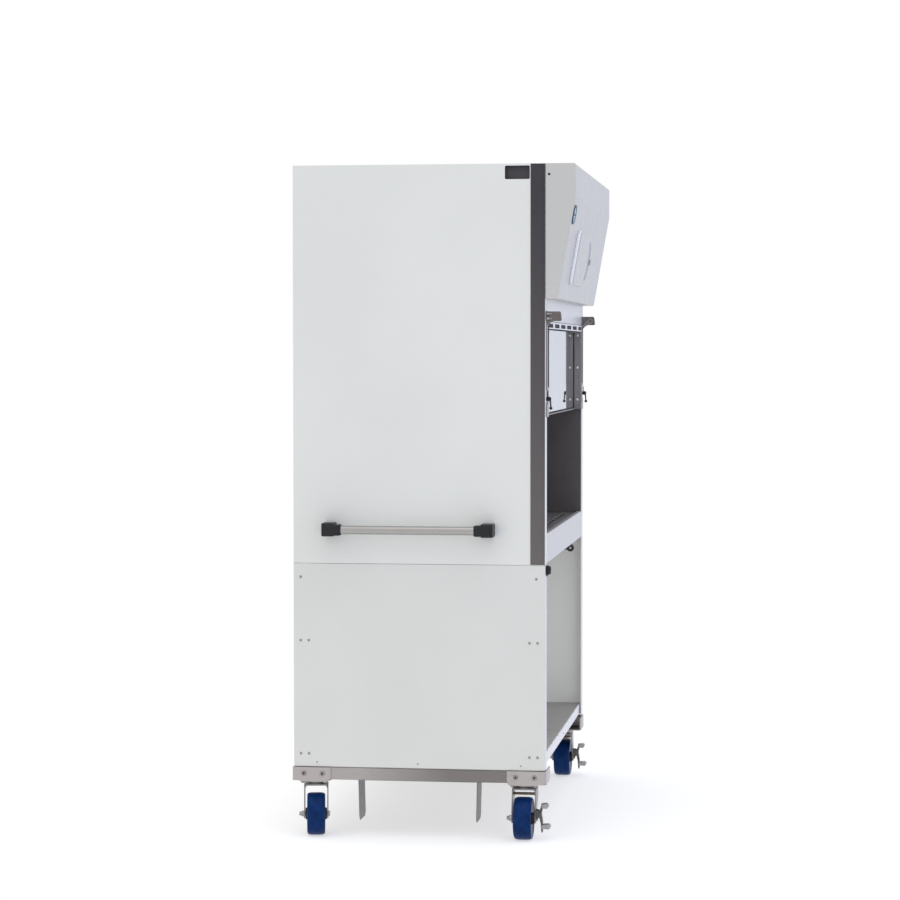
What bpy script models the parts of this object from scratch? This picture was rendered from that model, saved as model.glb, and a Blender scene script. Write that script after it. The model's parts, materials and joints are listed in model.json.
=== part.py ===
"""Mobile fume hood: a vented work cabinet on a stand with four locking swivel casters.

Metres, +Z up. The front faces -Y and +X is to the right of a person who faces the front.
The origin is on the floor, under the middle of the object's box.
"""
import math

import bmesh
import bpy
from mathutils import Matrix, Vector

# ---------------------------------------------------------------- driving dimensions
CABINET_WIDTH = 1.280
CABINET_DEPTH = 0.757
HEIGHT = 2.005
HEAD_REACH = 0.090          # the head stands this far ahead of the front plane
SHEET = 0.002               # thickness of the folded sheet panels
GAP = 0.0003                # clearance between pieces that touch
PLATE_PROUD = 0.004         # the corner plates stand this far outside the panels

SIDE = CABINET_WIDTH / 2
FRONT = HEAD_REACH - (CABINET_DEPTH + PLATE_PROUD + HEAD_REACH) / 2
BACK = FRONT + CABINET_DEPTH

# levels above the floor
RAIL_BOTTOM = 0.170
RAIL_TOP = 0.207
LOWER_BOTTOM = 0.2095
SHELF_TOP = 0.248
SHELF_LIP_BOTTOM = 0.217
LOWER_TOP = 0.8187
UPPER_BOTTOM = 0.8200
PAN_BOTTOM = 0.845
TRAY_TOP = 0.905
SILL_TOP = 0.909
SASH_BOTTOM = 1.2575
SASH_TOP = 1.5405
HEADER_BOTTOM = 1.541
LINER_TOP = 1.598
HEAD_BOTTOM = 1.607
HEAD_BEND = 1.908
SUPPLY_FILTER = (1.601, 1.670)
EXHAUST_FILTER = (1.905, 1.995)
TOP_SHEET = 2.0028

# folded returns of the cabinet panels
POST_WIDTH = 0.050
REAR_RETURN = 0.025
JAMB = 0.5875               # outer face of the chamber wall, just inside the posts
CHAMBER_BACK = BACK - 0.100

# base frame and casters
TUBE = 0.038
TUBE_WALL_INSET = 0.050     # the long tubes are set back from the front and back planes
WHEEL_RADIUS = 0.0635
WHEEL_WIDTH = 0.054
HUB_RADIUS = 0.018
HUB_WIDTH = 0.065
AXLE_RADIUS = 0.006
CASTER_INSET_X = 0.0585
CASTER_INSET_FRONT = 0.065
CASTER_INSET_REAR = 0.0575
CASTER_TRAIL = 0.040        # the wheel's centre trails the swivel axis towards the side
FORK_TOP = 0.150
RACE_TOP = 0.1607
LEG_INNER = 0.033
LEG_OUTER = 0.0365
BRAKE_PIVOT = (-0.0485, 0.078)   # y and z of the rocker's pin, from the swivel axis

# side, end and rest angle about the swivel axis of each caster
CASTERS = {
    "front_left": (-1, -1, 0.0),
    "front_right": (1, -1, 0.0),
    "rear_left": (-1, 1, math.radians(10)),
    "rear_right": (1, 1, 0.0),
}

# sash, its hinges and latches
SASH_HALF = 0.5605          # half the width of the sash's box between the jambs
SASH_FLANGE = 0.618         # half the width over the sash's front flanges
SASH_DEPTH = 0.030
FLANGE_FRONT = FRONT - 0.003
FLANGE_BACK = FRONT - 0.0005
GLASS_FRONT = FRONT + 0.0235
GLASS_THICKNESS = 0.004
HINGE_Y = FRONT - 0.030
HINGE_Z = 1.556
PIN_RADIUS = 0.004
LATCH_X = 0.606
LATCH_Z = 1.311

# services and handles
SERVICE_KNOB = (-0.612, 0.803)
DRAIN_X = 0.400
DRAIN_Y = FRONT + 0.019
DRAIN_SPINDLE_Z = 0.798
HANDLE_X = SIDE + 0.045
HANDLE_Z = 0.9225
HANDLE_RADIUS = 0.0127
HANDLE_ENDS = (FRONT + 0.149, FRONT + 0.661)
BRACKET_LENGTH = 0.057
BLOWER_Y = 0.050

# head: places are (x, z) on its sloping front
HEAD_FOOT = 0.037           # reach of the head's lower edge ahead of the front plane
GAUGE_PLACE = (-0.604, 1.8555)
CONTROL_PLACE = (-0.100, 1.738)
BUTTON_OFFSET = 0.150
PAD_THICKNESS = 0.012
PAD_HALF_HEIGHT = 0.083
INLET_PLACE = (0.450, 1.900)

ROUND = 16                  # sides of the small turned shapes
HEAD_SIDES = 8              # sides of a screw head


# ---------------------------------------------------------------- modelling helpers
def clear_scene():
    """Remove what the scene holds, so that the script always starts from nothing."""
    for item in list(bpy.data.objects):
        bpy.data.objects.remove(item, do_unlink=True)


def add_box(bm, x, y, z):
    """Add a box from its two limits along each axis, in any order."""
    low = Vector((min(x), min(y), min(z)))
    high = Vector((max(x), max(y), max(z)))
    matrix = Matrix.Translation((low + high) / 2) @ Matrix.Diagonal((high - low).to_4d())
    bmesh.ops.create_cube(bm, size=1.0, matrix=matrix)


def add_cylinder(bm, start, end, radius, segments=ROUND, end_radius=None):
    """Add a cylinder or a cone between two points."""
    start, end = Vector(start), Vector(end)
    axis = end - start
    turn = axis.to_track_quat("Z", "Y").to_matrix().to_4x4()
    bmesh.ops.create_cone(
        bm, cap_ends=True, cap_tris=False, segments=segments,
        radius1=radius, radius2=radius if end_radius is None else end_radius,
        depth=axis.length, matrix=Matrix.Translation((start + end) / 2) @ turn)


def add_prism(bm, outline, axis, limits):
    """Extrude an outline along an axis: (y, z) pairs for X, (x, z) for Y, (x, y) for Z."""
    place = {
        "X": lambda p, level: (level, p[0], p[1]),
        "Y": lambda p, level: (p[0], level, p[1]),
        "Z": lambda p, level: (p[0], p[1], level),
    }[axis]
    low, high = min(limits), max(limits)
    face = bm.faces.new([bm.verts.new(place(p, low)) for p in outline])
    grown = bmesh.ops.extrude_face_region(bm, geom=[face])
    moved = [item for item in grown["geom"] if isinstance(item, bmesh.types.BMVert)]
    bmesh.ops.translate(bm, verts=moved, vec=Vector(place((0.0, 0.0), high - low)))


def add_turned(bm, outline, matrix, segments=24, ring=False):
    """Turn (radius, height) pairs about local Z; a ring's outline closes on itself."""
    rings = []
    for radius, height in outline:
        angles = [2 * math.pi * step / segments for step in range(segments)]
        rings.append([
            bm.verts.new(matrix @ Vector((radius * math.cos(a), radius * math.sin(a), height)))
            for a in angles])
    pairs = list(zip(rings, rings[1:]))
    if ring:
        pairs.append((rings[-1], rings[0]))
    else:
        bm.faces.new(rings[0])
        bm.faces.new(rings[-1])
    for low, high in pairs:
        for step in range(segments):
            after = (step + 1) % segments
            bm.faces.new((low[step], low[after], high[after], high[step]))


def shape(builder, *values, **named):
    """Return a new bmesh filled by one of the add functions."""
    bm = bmesh.new()
    builder(bm, *values, **named)
    bmesh.ops.recalc_face_normals(bm, faces=bm.faces)
    return bm


def boxes(*limits):
    """Return a bmesh of separate boxes."""
    bm = bmesh.new()
    for x, y, z in limits:
        add_box(bm, x, y, z)
    bmesh.ops.recalc_face_normals(bm, faces=bm.faces)
    return bm


def cylinders(rods, radius, segments=ROUND):
    """Return a bmesh of separate cylinders, one for each (start, end)."""
    bm = bmesh.new()
    for start, end in rods:
        add_cylinder(bm, start, end, radius, segments)
    bmesh.ops.recalc_face_normals(bm, faces=bm.faces)
    return bm


def scratch_object(bm):
    """Put a bmesh into a short-lived object."""
    mesh = bpy.data.meshes.new("scratch")
    bm.to_mesh(mesh)
    bm.free()
    item = bpy.data.objects.new("scratch", mesh)
    bpy.context.scene.collection.objects.link(item)
    return item


def combine(target, tool, operation):
    """Return the Boolean of two bmeshes; both are used up."""
    base, cutter = scratch_object(target), scratch_object(tool)
    modifier = base.modifiers.new("combine", "BOOLEAN")
    modifier.operation = operation
    modifier.solver = "EXACT"
    modifier.object = cutter
    bpy.context.view_layer.update()
    result = bmesh.new()
    result.from_object(base, bpy.context.evaluated_depsgraph_get())
    for item in (base, cutter):
        mesh = item.data
        bpy.data.objects.remove(item, do_unlink=True)
        bpy.data.meshes.remove(mesh)
    return result


def union(*parts):
    """Join overlapping shapes into one body."""
    result = parts[0]
    for part in parts[1:]:
        result = combine(result, part, "UNION")
    return result


def cut(target, *tools):
    """Take shapes away from a body."""
    for tool in tools:
        target = combine(target, tool, "DIFFERENCE")
    return target


FINISHES = {
    # colour, roughness, metallic
    "white_paint": ((0.72, 0.74, 0.73), 0.45, 0.0),
    "stainless": ((0.56, 0.54, 0.52), 0.32, 1.0),
    "dark_strip": ((0.09, 0.085, 0.085), 0.40, 0.6),
    "black_plastic": ((0.02, 0.02, 0.022), 0.50, 0.0),
    "blue_rubber": ((0.010, 0.030, 0.110), 0.35, 0.0),
    "glass": ((0.80, 0.85, 0.90), 0.05, 0.0),
    "filter_media": ((0.80, 0.80, 0.76), 0.90, 0.0),
    "zinc": ((0.60, 0.60, 0.58), 0.40, 1.0),
    "grey_plastic": ((0.30, 0.31, 0.32), 0.50, 0.0),
    "lamp_white": ((0.90, 0.90, 0.88), 0.30, 0.0),
}


def finish(name, kind):
    """Make a piece's own Principled material."""
    colour, roughness, metallic = FINISHES[kind]
    made = bpy.data.materials.new(name + "_" + kind)
    made.use_nodes = True
    shader = made.node_tree.nodes["Principled BSDF"]
    shader.inputs["Base Color"].default_value = (*colour, 1.0)
    shader.inputs["Roughness"].default_value = roughness
    shader.inputs["Metallic"].default_value = metallic
    return made


def piece(name, bm, kind, location=(0, 0, 0), turn=(0, 0, 0), parent=None, smooth=False):
    """Turn a bmesh into a named object of the assembly."""
    bmesh.ops.remove_doubles(bm, verts=bm.verts, dist=1e-5)
    bmesh.ops.recalc_face_normals(bm, faces=bm.faces)
    mesh = bpy.data.meshes.new(name)
    bm.to_mesh(mesh)
    bm.free()
    if smooth:
        mesh.shade_smooth()
        mesh.set_sharp_from_angle(angle=math.radians(35))
    mesh.materials.append(finish(name, kind))
    item = bpy.data.objects.new(name, mesh)
    bpy.context.scene.collection.objects.link(item)
    item.location = location
    item.rotation_euler = turn
    item.parent = parent
    return item


def pivot(name, location, turn=(0, 0, 0)):
    """Make an empty on a joint's axis."""
    item = bpy.data.objects.new(name, None)
    bpy.context.scene.collection.objects.link(item)
    item.location = location
    item.rotation_euler = turn
    return item


def side_name(side):
    return "left" if side < 0 else "right"


# ---------------------------------------------------------------- base frame and casters
def base_frame():
    """Welded square tube: two side rails and two long tubes set back between them."""
    rails = [((side * SIDE, side * (SIDE - TUBE)), (FRONT, BACK), (RAIL_BOTTOM, RAIL_TOP))
             for side in (-1, 1)]
    reach = SIDE - TUBE / 2
    near = FRONT + TUBE_WALL_INSET
    far = BACK - TUBE_WALL_INSET
    drop = 0.001            # the long tubes are ground in just under the rails' top
    across = [((-reach, reach), (near, near + TUBE), (RAIL_BOTTOM, RAIL_TOP - drop)),
              ((-reach, reach), (far - TUBE, far), (RAIL_BOTTOM, RAIL_TOP - drop))]
    piece("base_frame", union(boxes(*rails), boxes(*across)), "stainless")


def swivel_place(side, end):
    """Where a caster's swivel axis stands, in x and y."""
    y = BACK - CASTER_INSET_REAR if end > 0 else FRONT + CASTER_INSET_FRONT
    return side * (SIDE - CASTER_INSET_X), y


def corner_plate(name, side, end):
    """Folded corner plate with its caster's mounting plate and their bolts."""
    reach, thick = 0.117, 0.0037
    out_x = SIDE + PLATE_PROUD
    edge_y = BACK if end > 0 else FRONT
    out_y = edge_y + end * PLATE_PROUD
    top, bottom, chamfer = RAIL_TOP - GAP, 0.1660, 0.010
    outline = [(out_y, top), (out_y, bottom + chamfer), (out_y - end * chamfer, bottom),
               (out_y - end * (reach - chamfer), bottom),
               (out_y - end * reach, bottom + chamfer), (out_y - end * reach, top)]
    side_flange = shape(add_prism, outline, "X", (side * out_x, side * (out_x - thick)))
    start, finish_x = side * (out_x - thick + 0.0004), side * (out_x - reach)
    outline = [(start, top - 0.0002), (start, 0.1680), (finish_x + side * chamfer, 0.1680),
               (finish_x, 0.1680 + chamfer), (finish_x, top - 0.0002)]
    end_flange = shape(add_prism, outline, "Y", (out_y - end * 0.0002, out_y - end * thick))
    web = boxes(((side * (out_x - 0.0015), side * (out_x - reach - 0.001)),
                 (out_y - end * 0.003, out_y - end * (reach - 0.002)), (0.1662, RAIL_BOTTOM - GAP)))
    centre_x, centre_y = swivel_place(side, end)
    mount = boxes(((centre_x - 0.050, centre_x + 0.050),
                   (centre_y - 0.043, centre_y + 0.043), (0.161, 0.1665)))
    bolts = [((side * (out_x - 0.001), out_y - end * inset, 0.188),
              (side * (out_x + 0.0035), out_y - end * inset, 0.188)) for inset in (0.035, 0.091)]
    nuts = [((centre_x + dx, centre_y + dy, 0.1615), (centre_x + dx, centre_y + dy, 0.1550))
            for dx in (-0.040, 0.040) for dy in (-0.034, 0.034)]
    body = union(side_flange, end_flange, web, mount,
                 cylinders(bolts, 0.008, 10), cylinders(nuts, 0.006, 6))
    piece(name, body, "stainless")


def fork(name, outward, parent, braked):
    """Swivel fork: race, crown and two legs that lean out to the axle."""
    axle_x = outward * CASTER_TRAIL
    race = shape(add_cylinder, (0, 0, FORK_TOP - 0.001), (0, 0, RACE_TOP), 0.030, 24)
    crown = boxes(((-0.031, 0.031), (-LEG_OUTER + 0.0002, LEG_OUTER - 0.0002), (0.1455, FORK_TOP)))
    foot, shoulder = 0.015, 0.125
    arc = [math.radians(-a) for a in range(0, 181, 30)]
    outline = [(-0.0305, FORK_TOP - 0.0005), (0.0305, FORK_TOP - 0.0005)]
    outline += [(CASTER_TRAIL + foot * math.cos(a), WHEEL_RADIUS + foot * math.sin(a)) for a in arc]
    outline += [(-0.0305, shoulder)]
    outline = [(outward * x, z) for x, z in outline]
    legs = bmesh.new()
    for end in (-1, 1):
        add_prism(legs, outline, "Y", (end * LEG_INNER, end * LEG_OUTER))
    bmesh.ops.recalc_face_normals(legs, faces=legs.faces)
    body = union(crown, race, legs)
    hole = shape(add_cylinder, (axle_x, -0.06, WHEEL_RADIUS), (axle_x, 0.06, WHEEL_RADIUS),
                 AXLE_RADIUS + GAP)
    body = cut(body, hole)
    if braked:
        body = union(body, brake_bracket(axle_x))
    piece(name, body, "stainless", parent=parent)


def brake_bracket(axle_x):
    """Two cheeks and a pin outside the front leg, and the bar over the wheel."""
    pin_y, pin_z = BRAKE_PIVOT
    cheeks = boxes(*[((axle_x + side * 0.0106, axle_x + side * 0.0131),
                      (pin_y - 0.005, -LEG_OUTER + 0.001), (0.060, 0.092)) for side in (-1, 1)])
    pin = shape(add_cylinder, (axle_x - 0.0120, pin_y, pin_z), (axle_x + 0.0120, pin_y, pin_z),
                0.003, 12)
    bar_x = axle_x / 2
    bar = shape(add_cylinder, (bar_x, -LEG_INNER - 0.001, 0.1345), (bar_x, LEG_INNER + 0.001, 0.1345),
                0.004, 10)
    return union(union(cheeks, pin), bar)


def brake_lever(name, axle_x, parent):
    """Rocker with an upper and a lower pedal; it tips on the bracket's pin."""
    pin_y, pin_z = BRAKE_PIVOT
    sleeve = shape(add_cylinder, (-0.0095, 0, 0), (0.0095, 0, 0), 0.0054, 14)
    face = -0.0040          # inner face of the rocker plate, from the pin
    plate = boxes(((-0.0094, 0.0094), (face, face - 0.005), (0.022 - pin_z, 0.1085 - pin_z)))
    pedals = boxes(*[((-0.014, 0.014), (face - 0.001, face - 0.005 - reach), (low, high))
                     for low, high, reach in ((0.0185, 0.0315, 0.027), (-0.0440, -0.0300, 0.032))])
    hole = shape(add_cylinder, (-0.02, 0, 0), (0.02, 0, 0), 0.0033, 12)
    body = cut(union(plate, sleeve, pedals), hole)
    piece(name, body, "zinc", location=(axle_x, pin_y, pin_z), parent=parent)


def wheel(name, axle_x, parent):
    """Blue tyre on a hub that stands out on both sides, bored for the axle."""
    half, crown = WHEEL_WIDTH / 2, 0.006
    hub = HUB_WIDTH / 2
    outline = [(AXLE_RADIUS + GAP, -hub), (HUB_RADIUS, -hub), (HUB_RADIUS, -half + 0.0015),
               (WHEEL_RADIUS - 0.012, -half), (WHEEL_RADIUS - 0.005, -half),
               (WHEEL_RADIUS, -half + crown)]
    outline += [(radius, -level) for radius, level in reversed(outline)]
    turn = Matrix.Rotation(math.pi / 2, 4, "X")
    body = shape(add_turned, outline, turn, segments=24, ring=True)
    piece(name, body, "blue_rubber", location=(axle_x, 0, WHEEL_RADIUS), parent=parent,
          smooth=True)


def axle(name, axle_x, parent):
    """Axle bolt: hexagon head in front, nut and a thread's end behind."""
    bolt = shape(add_cylinder, (0, -LEG_OUTER - 0.002, 0), (0, LEG_OUTER + 0.0145, 0),
                 AXLE_RADIUS, ROUND)
    head = shape(add_cylinder, (0, -LEG_OUTER - GAP, 0), (0, -LEG_OUTER - 0.0055, 0), 0.0095, 6)
    nut = shape(add_cylinder, (0, LEG_OUTER + GAP, 0), (0, LEG_OUTER + 0.0085, 0), 0.0105, 6)
    piece(name, union(bolt, head, nut), "zinc", location=(axle_x, 0, WHEEL_RADIUS),
          parent=parent)


def caster(corner):
    """One swivel caster, all of it under an empty on the swivel axis."""
    side, end, angle = CASTERS[corner]
    swivel = pivot("swivel_axis_" + corner, (*swivel_place(side, end), 0), (0, 0, angle))
    braked = end < 0
    axle_x = side * CASTER_TRAIL
    fork("caster_fork_" + corner, side, swivel, braked)
    wheel("caster_wheel_" + corner, axle_x, swivel)
    axle("caster_axle_" + corner, axle_x, swivel)
    if braked:
        brake_lever("brake_lever_" + corner, axle_x, swivel)


def fork_guide(side):
    """Inverted U under a side rail: its two plates keep a pallet truck's forks in line."""
    outer, inner = SIDE - 0.018, SIDE - 0.150
    leg_outer = SIDE - 0.050
    web_z = RAIL_BOTTOM - GAP
    lean = 0.003            # the plates lean in towards their lower ends
    near, far, thick = FRONT + 0.2065, FRONT + 0.5695, 0.003
    web = boxes(((side * outer, side * (inner - 0.001)), (near + 0.0004, far - 0.0004),
                 (web_z - thick, web_z)))
    legs = bmesh.new()
    for start, inward in ((near, 1), (far, -1)):
        outline = [(start, web_z - 0.001), (start + inward * thick, web_z - 0.001),
                   (start + inward * (thick + lean), 0.0400), (start + inward * lean, 0.0400)]
        add_prism(legs, outline, "X", (side * leg_outer, side * inner))
    bmesh.ops.recalc_face_normals(legs, faces=legs.faces)
    piece("fork_guide_" + side_name(side), union(web, legs), "zinc")


# ---------------------------------------------------------------- stand
def screw_heads(places, side, radius=0.004, proud=0.0015):
    """Screw heads on a side panel, from (y from the front plane, z) pairs."""
    rods = [((side * (SIDE - 0.001), FRONT + y, z), (side * (SIDE + proud), FRONT + y, z))
            for y, z in places]
    return cylinders(rods, radius, HEAD_SIDES)


def folded_side(side, low, high):
    """Side panel in plan: skin, wide front return (the post) and a rear return."""
    x = [side * (SIDE - value) for value in (0, SHEET, POST_WIDTH, REAR_RETURN)]
    outline = [(x[0], FRONT), (x[0], BACK), (x[3], BACK), (x[3], BACK - SHEET),
               (x[1], BACK - SHEET), (x[1], FRONT + SHEET), (x[2], FRONT + SHEET), (x[2], FRONT)]
    return shape(add_prism, outline, "Z", (low, high))


def lower_side_panel(side):
    """Stand's side panel with its pairs of screws and the small ones along the edges."""
    inset, pitch = 0.022, 0.0243
    columns = (inset, inset + pitch, CABINET_DEPTH - inset - pitch, CABINET_DEPTH - inset)
    pairs = [(y, z) for y in columns for z in (0.2475, 0.588)]
    singles = [(inset + 0.004, 0.778), (CABINET_DEPTH - inset, 0.778)]
    small = [(y, 0.222) for y in (0.072, 0.381, 0.686)]
    body = union(folded_side(side, LOWER_BOTTOM, LOWER_TOP), screw_heads(pairs + singles, side),
                 screw_heads(small, side, 0.0025, 0.001))
    piece("lower_side_panel_" + side_name(side), body, "white_paint")


def back_panel(name, low, high, columns, hole=None):
    """Flat back between the sides, lapped behind their rear returns, with screw heads."""
    outer = BACK - SHEET - GAP
    sheet = boxes(((-SIDE + SHEET + GAP, SIDE - SHEET - GAP), (outer - SHEET, outer), (low, high)))
    margin = 0.045
    rods = [((x, outer - 0.001, z), (x, outer + 0.0015, z))
            for x in columns for z in (low + margin, high - margin)]
    body = union(sheet, cylinders(rods, 0.004, HEAD_SIDES))
    if hole:
        body = cut(body, boxes(hole))
    piece(name, body, "white_paint")


def pan_outline(front, notch_y, notch_x, half, back):
    """Plan of a sheet whose front corners are notched around the posts."""
    return [(-notch_x, front), (notch_x, front), (notch_x, notch_y), (half, notch_y),
            (half, back), (-half, back), (-half, notch_y), (-notch_x, notch_y)]


def lower_shelf():
    """Floor of the open storage bay: an inverted pan with a white front lip."""
    half = SIDE - SHEET - GAP
    back = BACK - 2 * SHEET - 3 * GAP
    front = FRONT + 0.006
    lip_end = SIDE - POST_WIDTH - GAP
    sheet = boxes(((-half, half), (front, back), (SHELF_TOP - SHEET, SHELF_TOP)))
    foot = RAIL_TOP + GAP
    lip = boxes(((-lip_end, lip_end), (front + 0.0001, front + SHEET),
                 (SHELF_LIP_BOTTOM, SHELF_TOP - 0.001)))
    skirts = boxes(*[((side * half, side * (half - SHEET)), (FRONT + 0.012, back - 0.0001),
                      (foot, SHELF_TOP - 0.001)) for side in (-1, 1)])
    screws = cylinders([((x, front + SHEET, 0.232), (x, front - 0.0012, 0.232))
                        for x in (-0.540, 0.0, 0.565)], 0.0035, HEAD_SIDES)
    piece("lower_shelf", union(sheet, lip, skirts, screws), "white_paint")


# ---------------------------------------------------------------- cabinet shell
def upper_side_panel(side):
    """Cabinet's side panel; the left one has a pressed pocket near its top front corner."""
    body = folded_side(side, UPPER_BOTTOM, HEIGHT)
    if side < 0:
        y, z = (FRONT + 0.046, FRONT + 0.120), (1.959, 1.999)
        wall, depth = SHEET, 0.022
        outer_x, inner_x = -SIDE + 0.001, -SIDE + depth
        shell = boxes(((outer_x, inner_x), (y[0] - wall, y[1] + wall), (z[0] - wall, z[1] + wall)))
        hollow = boxes(((-SIDE - 0.01, inner_x - wall), y, z))
        body = cut(union(body, shell), hollow)
    piece("upper_side_panel_" + side_name(side), body, "white_paint")


def trim_strip(side):
    """Dark strip on the side face along the front edge."""
    x = (side * (SIDE + GAP), side * (SIDE + 0.0018))
    bm = boxes((x, (FRONT + 0.0005, FRONT + 0.0435), (UPPER_BOTTOM + 0.0005, HEIGHT - 0.001)))
    piece("trim_strip_" + side_name(side), bm, "dark_strip")


def top_panel():
    """Roof sheet with the exhaust opening and folded edges."""
    half = SIDE - SHEET - GAP
    back = BACK - 2 * SHEET - 3 * GAP
    notch_x = SIDE - POST_WIDTH - GAP
    plan = pan_outline(FRONT + GAP, FRONT + SHEET + GAP, notch_x, half, back)
    sheet = shape(add_prism, plan, "Z", (TOP_SHEET, TOP_SHEET + SHEET))
    skirts = boxes(((-half, -half + SHEET), (FRONT + 0.160, back), (1.975, TOP_SHEET + 0.001)),
                   ((half - SHEET, half), (FRONT + 0.160, back), (1.975, TOP_SHEET + 0.001)))
    opening = boxes(((-0.290, 0.290), (0.065, 0.345), (TOP_SHEET - 0.01, TOP_SHEET + 0.01)))
    piece("top_panel", cut(union(sheet, skirts), opening), "white_paint")


def header_panel():
    """White panel over the sash, between the posts, folded back along its lower edge."""
    half = SIDE - POST_WIDTH - GAP
    bm = union(boxes(((-half, half), (FRONT, FRONT + SHEET), (HEADER_BOTTOM, 1.660))),
               boxes(((-0.585, 0.585), (FRONT + 0.001, FRONT + 0.025),
                      (HEADER_BOTTOM + 0.0003, HEADER_BOTTOM + SHEET))))
    piece("header_panel", bm, "white_paint")


def front_sill():
    """White band under the work opening, folded back along its top and bottom."""
    half = SIDE - POST_WIDTH - GAP
    outline = [(FRONT, UPPER_BOTTOM + 0.0005), (FRONT, SILL_TOP - 0.004),
               (FRONT + 0.0012, SILL_TOP - 0.0012), (FRONT + 0.004, SILL_TOP),
               (FRONT + 0.0155, SILL_TOP), (FRONT + 0.0155, SILL_TOP - SHEET),
               (FRONT + 0.005, SILL_TOP - SHEET), (FRONT + SHEET, SILL_TOP - 0.005),
               (FRONT + SHEET, UPPER_BOTTOM + 0.0005 + SHEET),
               (FRONT + 0.010, UPPER_BOTTOM + 0.0005 + SHEET), (FRONT + 0.010, UPPER_BOTTOM + 0.0005)]
    ends = boxes(((-0.585, -0.8), (FRONT + SHEET + GAP, 0), (0.8, 1.0)),
                 ((0.585, 0.8), (FRONT + SHEET + GAP, 0), (0.8, 1.0)))
    body = cut(shape(add_prism, outline, "X", (-half, half)), ends)
    piece("front_sill", body, "white_paint")


def head_slope():
    """Lean of the head's lower front from upright, in radians."""
    return math.atan2(HEAD_REACH - HEAD_FOOT, HEAD_BEND - HEAD_BOTTOM)


def on_slope(x, z):
    """Point on the head's sloping front at a height."""
    share = (HEAD_BEND - z) / (HEAD_BEND - HEAD_BOTTOM)
    return Vector((x, FRONT - HEAD_REACH + share * (HEAD_REACH - HEAD_FOOT), z))


def head_outline(inset):
    """Side view of the head; inset is measured inwards from the outer skin."""
    lean = inset / math.cos(head_slope())
    back = FRONT - GAP if inset == 0 else FRONT + 0.01
    return [(back, HEIGHT - inset), (FRONT - HEAD_REACH + inset, HEIGHT - inset),
            (FRONT - HEAD_REACH + inset, HEAD_BEND - inset * math.tan(head_slope() / 2)),
            (FRONT - HEAD_FOOT + lean - inset * math.tan(head_slope()), HEAD_BOTTOM + inset),
            (back, HEAD_BOTTOM + inset)]


def head_housing():
    """Sheet housing of the blower controls, ahead of the front plane, open behind."""
    outer = shape(add_prism, head_outline(0.0), "X", (-SIDE, SIDE))
    rounded = [edge for edge in outer.edges
               if abs(edge.verts[0].co.x - edge.verts[1].co.x) < 1e-6
               and min(vert.co.y for vert in edge.verts) < FRONT - 0.03
               and max(vert.co.y for vert in edge.verts) < FRONT - 0.03]
    bmesh.ops.bevel(outer, geom=rounded, offset=0.006, segments=2, profile=0.5, affect="EDGES")
    inner = shape(add_prism, head_outline(SHEET), "X", (-SIDE + SHEET, SIDE - SHEET))
    body = cut(outer, inner)
    screws = cylinders([((side * (SIDE - 0.001), FRONT - 0.011, 1.973),
                         (side * (SIDE + 0.001), FRONT - 0.011, 1.973)) for side in (-1, 1)],
                       0.0035, HEAD_SIDES)
    piece("head_housing", union(body, screws), "white_paint", smooth=True)


def pressure_gauge():
    """Round gauge near the left end of the head."""
    turn = Matrix.Rotation(math.pi / 2, 4, "X")
    outline = [(0.0285, GAP), (0.0290, 0.0010), (0.0290, 0.0035), (0.0275, 0.0045),
               (0.0250, 0.0045), (0.0245, 0.0035)]
    body = shape(add_turned, outline, turn, segments=28)
    piece("pressure_gauge", body, "grey_plastic", location=on_slope(*GAUGE_PLACE),
          turn=(head_slope(), 0, 0), smooth=True)


def pad_outline():
    """Outline of the control pad in (x, z): straight on the left, half an ellipse on the right."""
    left, corner, half_height = -0.280, 0.030, PAD_HALF_HEIGHT
    right_centre, right_reach = 0.020, 0.230
    arc = [math.radians(a) for a in range(-90, 91, 10)]
    points = [(right_centre + right_reach * math.cos(a), half_height * math.sin(a)) for a in arc]
    for level, start in ((half_height - corner, 90), (corner - half_height, 180)):
        arc = [math.radians(start + step) for step in range(0, 91, 15)]
        points += [(left + corner + corner * math.cos(a), level + corner * math.sin(a)) for a in arc]
    return points


def control_panel():
    """Raised control pad on the head's slope, with a hole for the push button."""
    bm = bmesh.new()
    rings = []
    for scale, level in ((1.0, -GAP), (1.0, -0.0040), (0.955, -PAD_THICKNESS)):
        rings.append([bm.verts.new((x * scale, level, z * scale)) for x, z in pad_outline()])
    bm.faces.new(rings[0])
    bm.faces.new(rings[-1])
    count = len(rings[0])
    for low, high in zip(rings, rings[1:]):
        for k in range(count):
            after = (k + 1) % count
            bm.faces.new((low[k], low[after], high[after], high[k]))
    bmesh.ops.recalc_face_normals(bm, faces=bm.faces)
    hole = shape(add_cylinder, (BUTTON_OFFSET, -0.03, 0), (BUTTON_OFFSET, 0.01, 0), 0.0095, 20)
    piece("control_panel", cut(bm, hole), "white_paint", location=on_slope(*CONTROL_PLACE),
          turn=(head_slope(), 0, 0), smooth=True)


def power_button():
    """Push button that travels into the control pad."""
    turn = Matrix.Rotation(math.pi / 2, 4, "X")
    outline = [(0.0090, PAD_THICKNESS - 0.0030), (0.0090, PAD_THICKNESS + 0.0028),
               (0.0080, PAD_THICKNESS + 0.0036)]
    body = shape(add_turned, outline, turn, segments=20)
    lean = Matrix.Rotation(head_slope(), 4, "X")
    place = on_slope(*CONTROL_PLACE) + lean @ Vector((BUTTON_OFFSET, 0, 0))
    piece("power_button", body, "grey_plastic", location=place, turn=(head_slope(), 0, 0),
          smooth=True)


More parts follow.
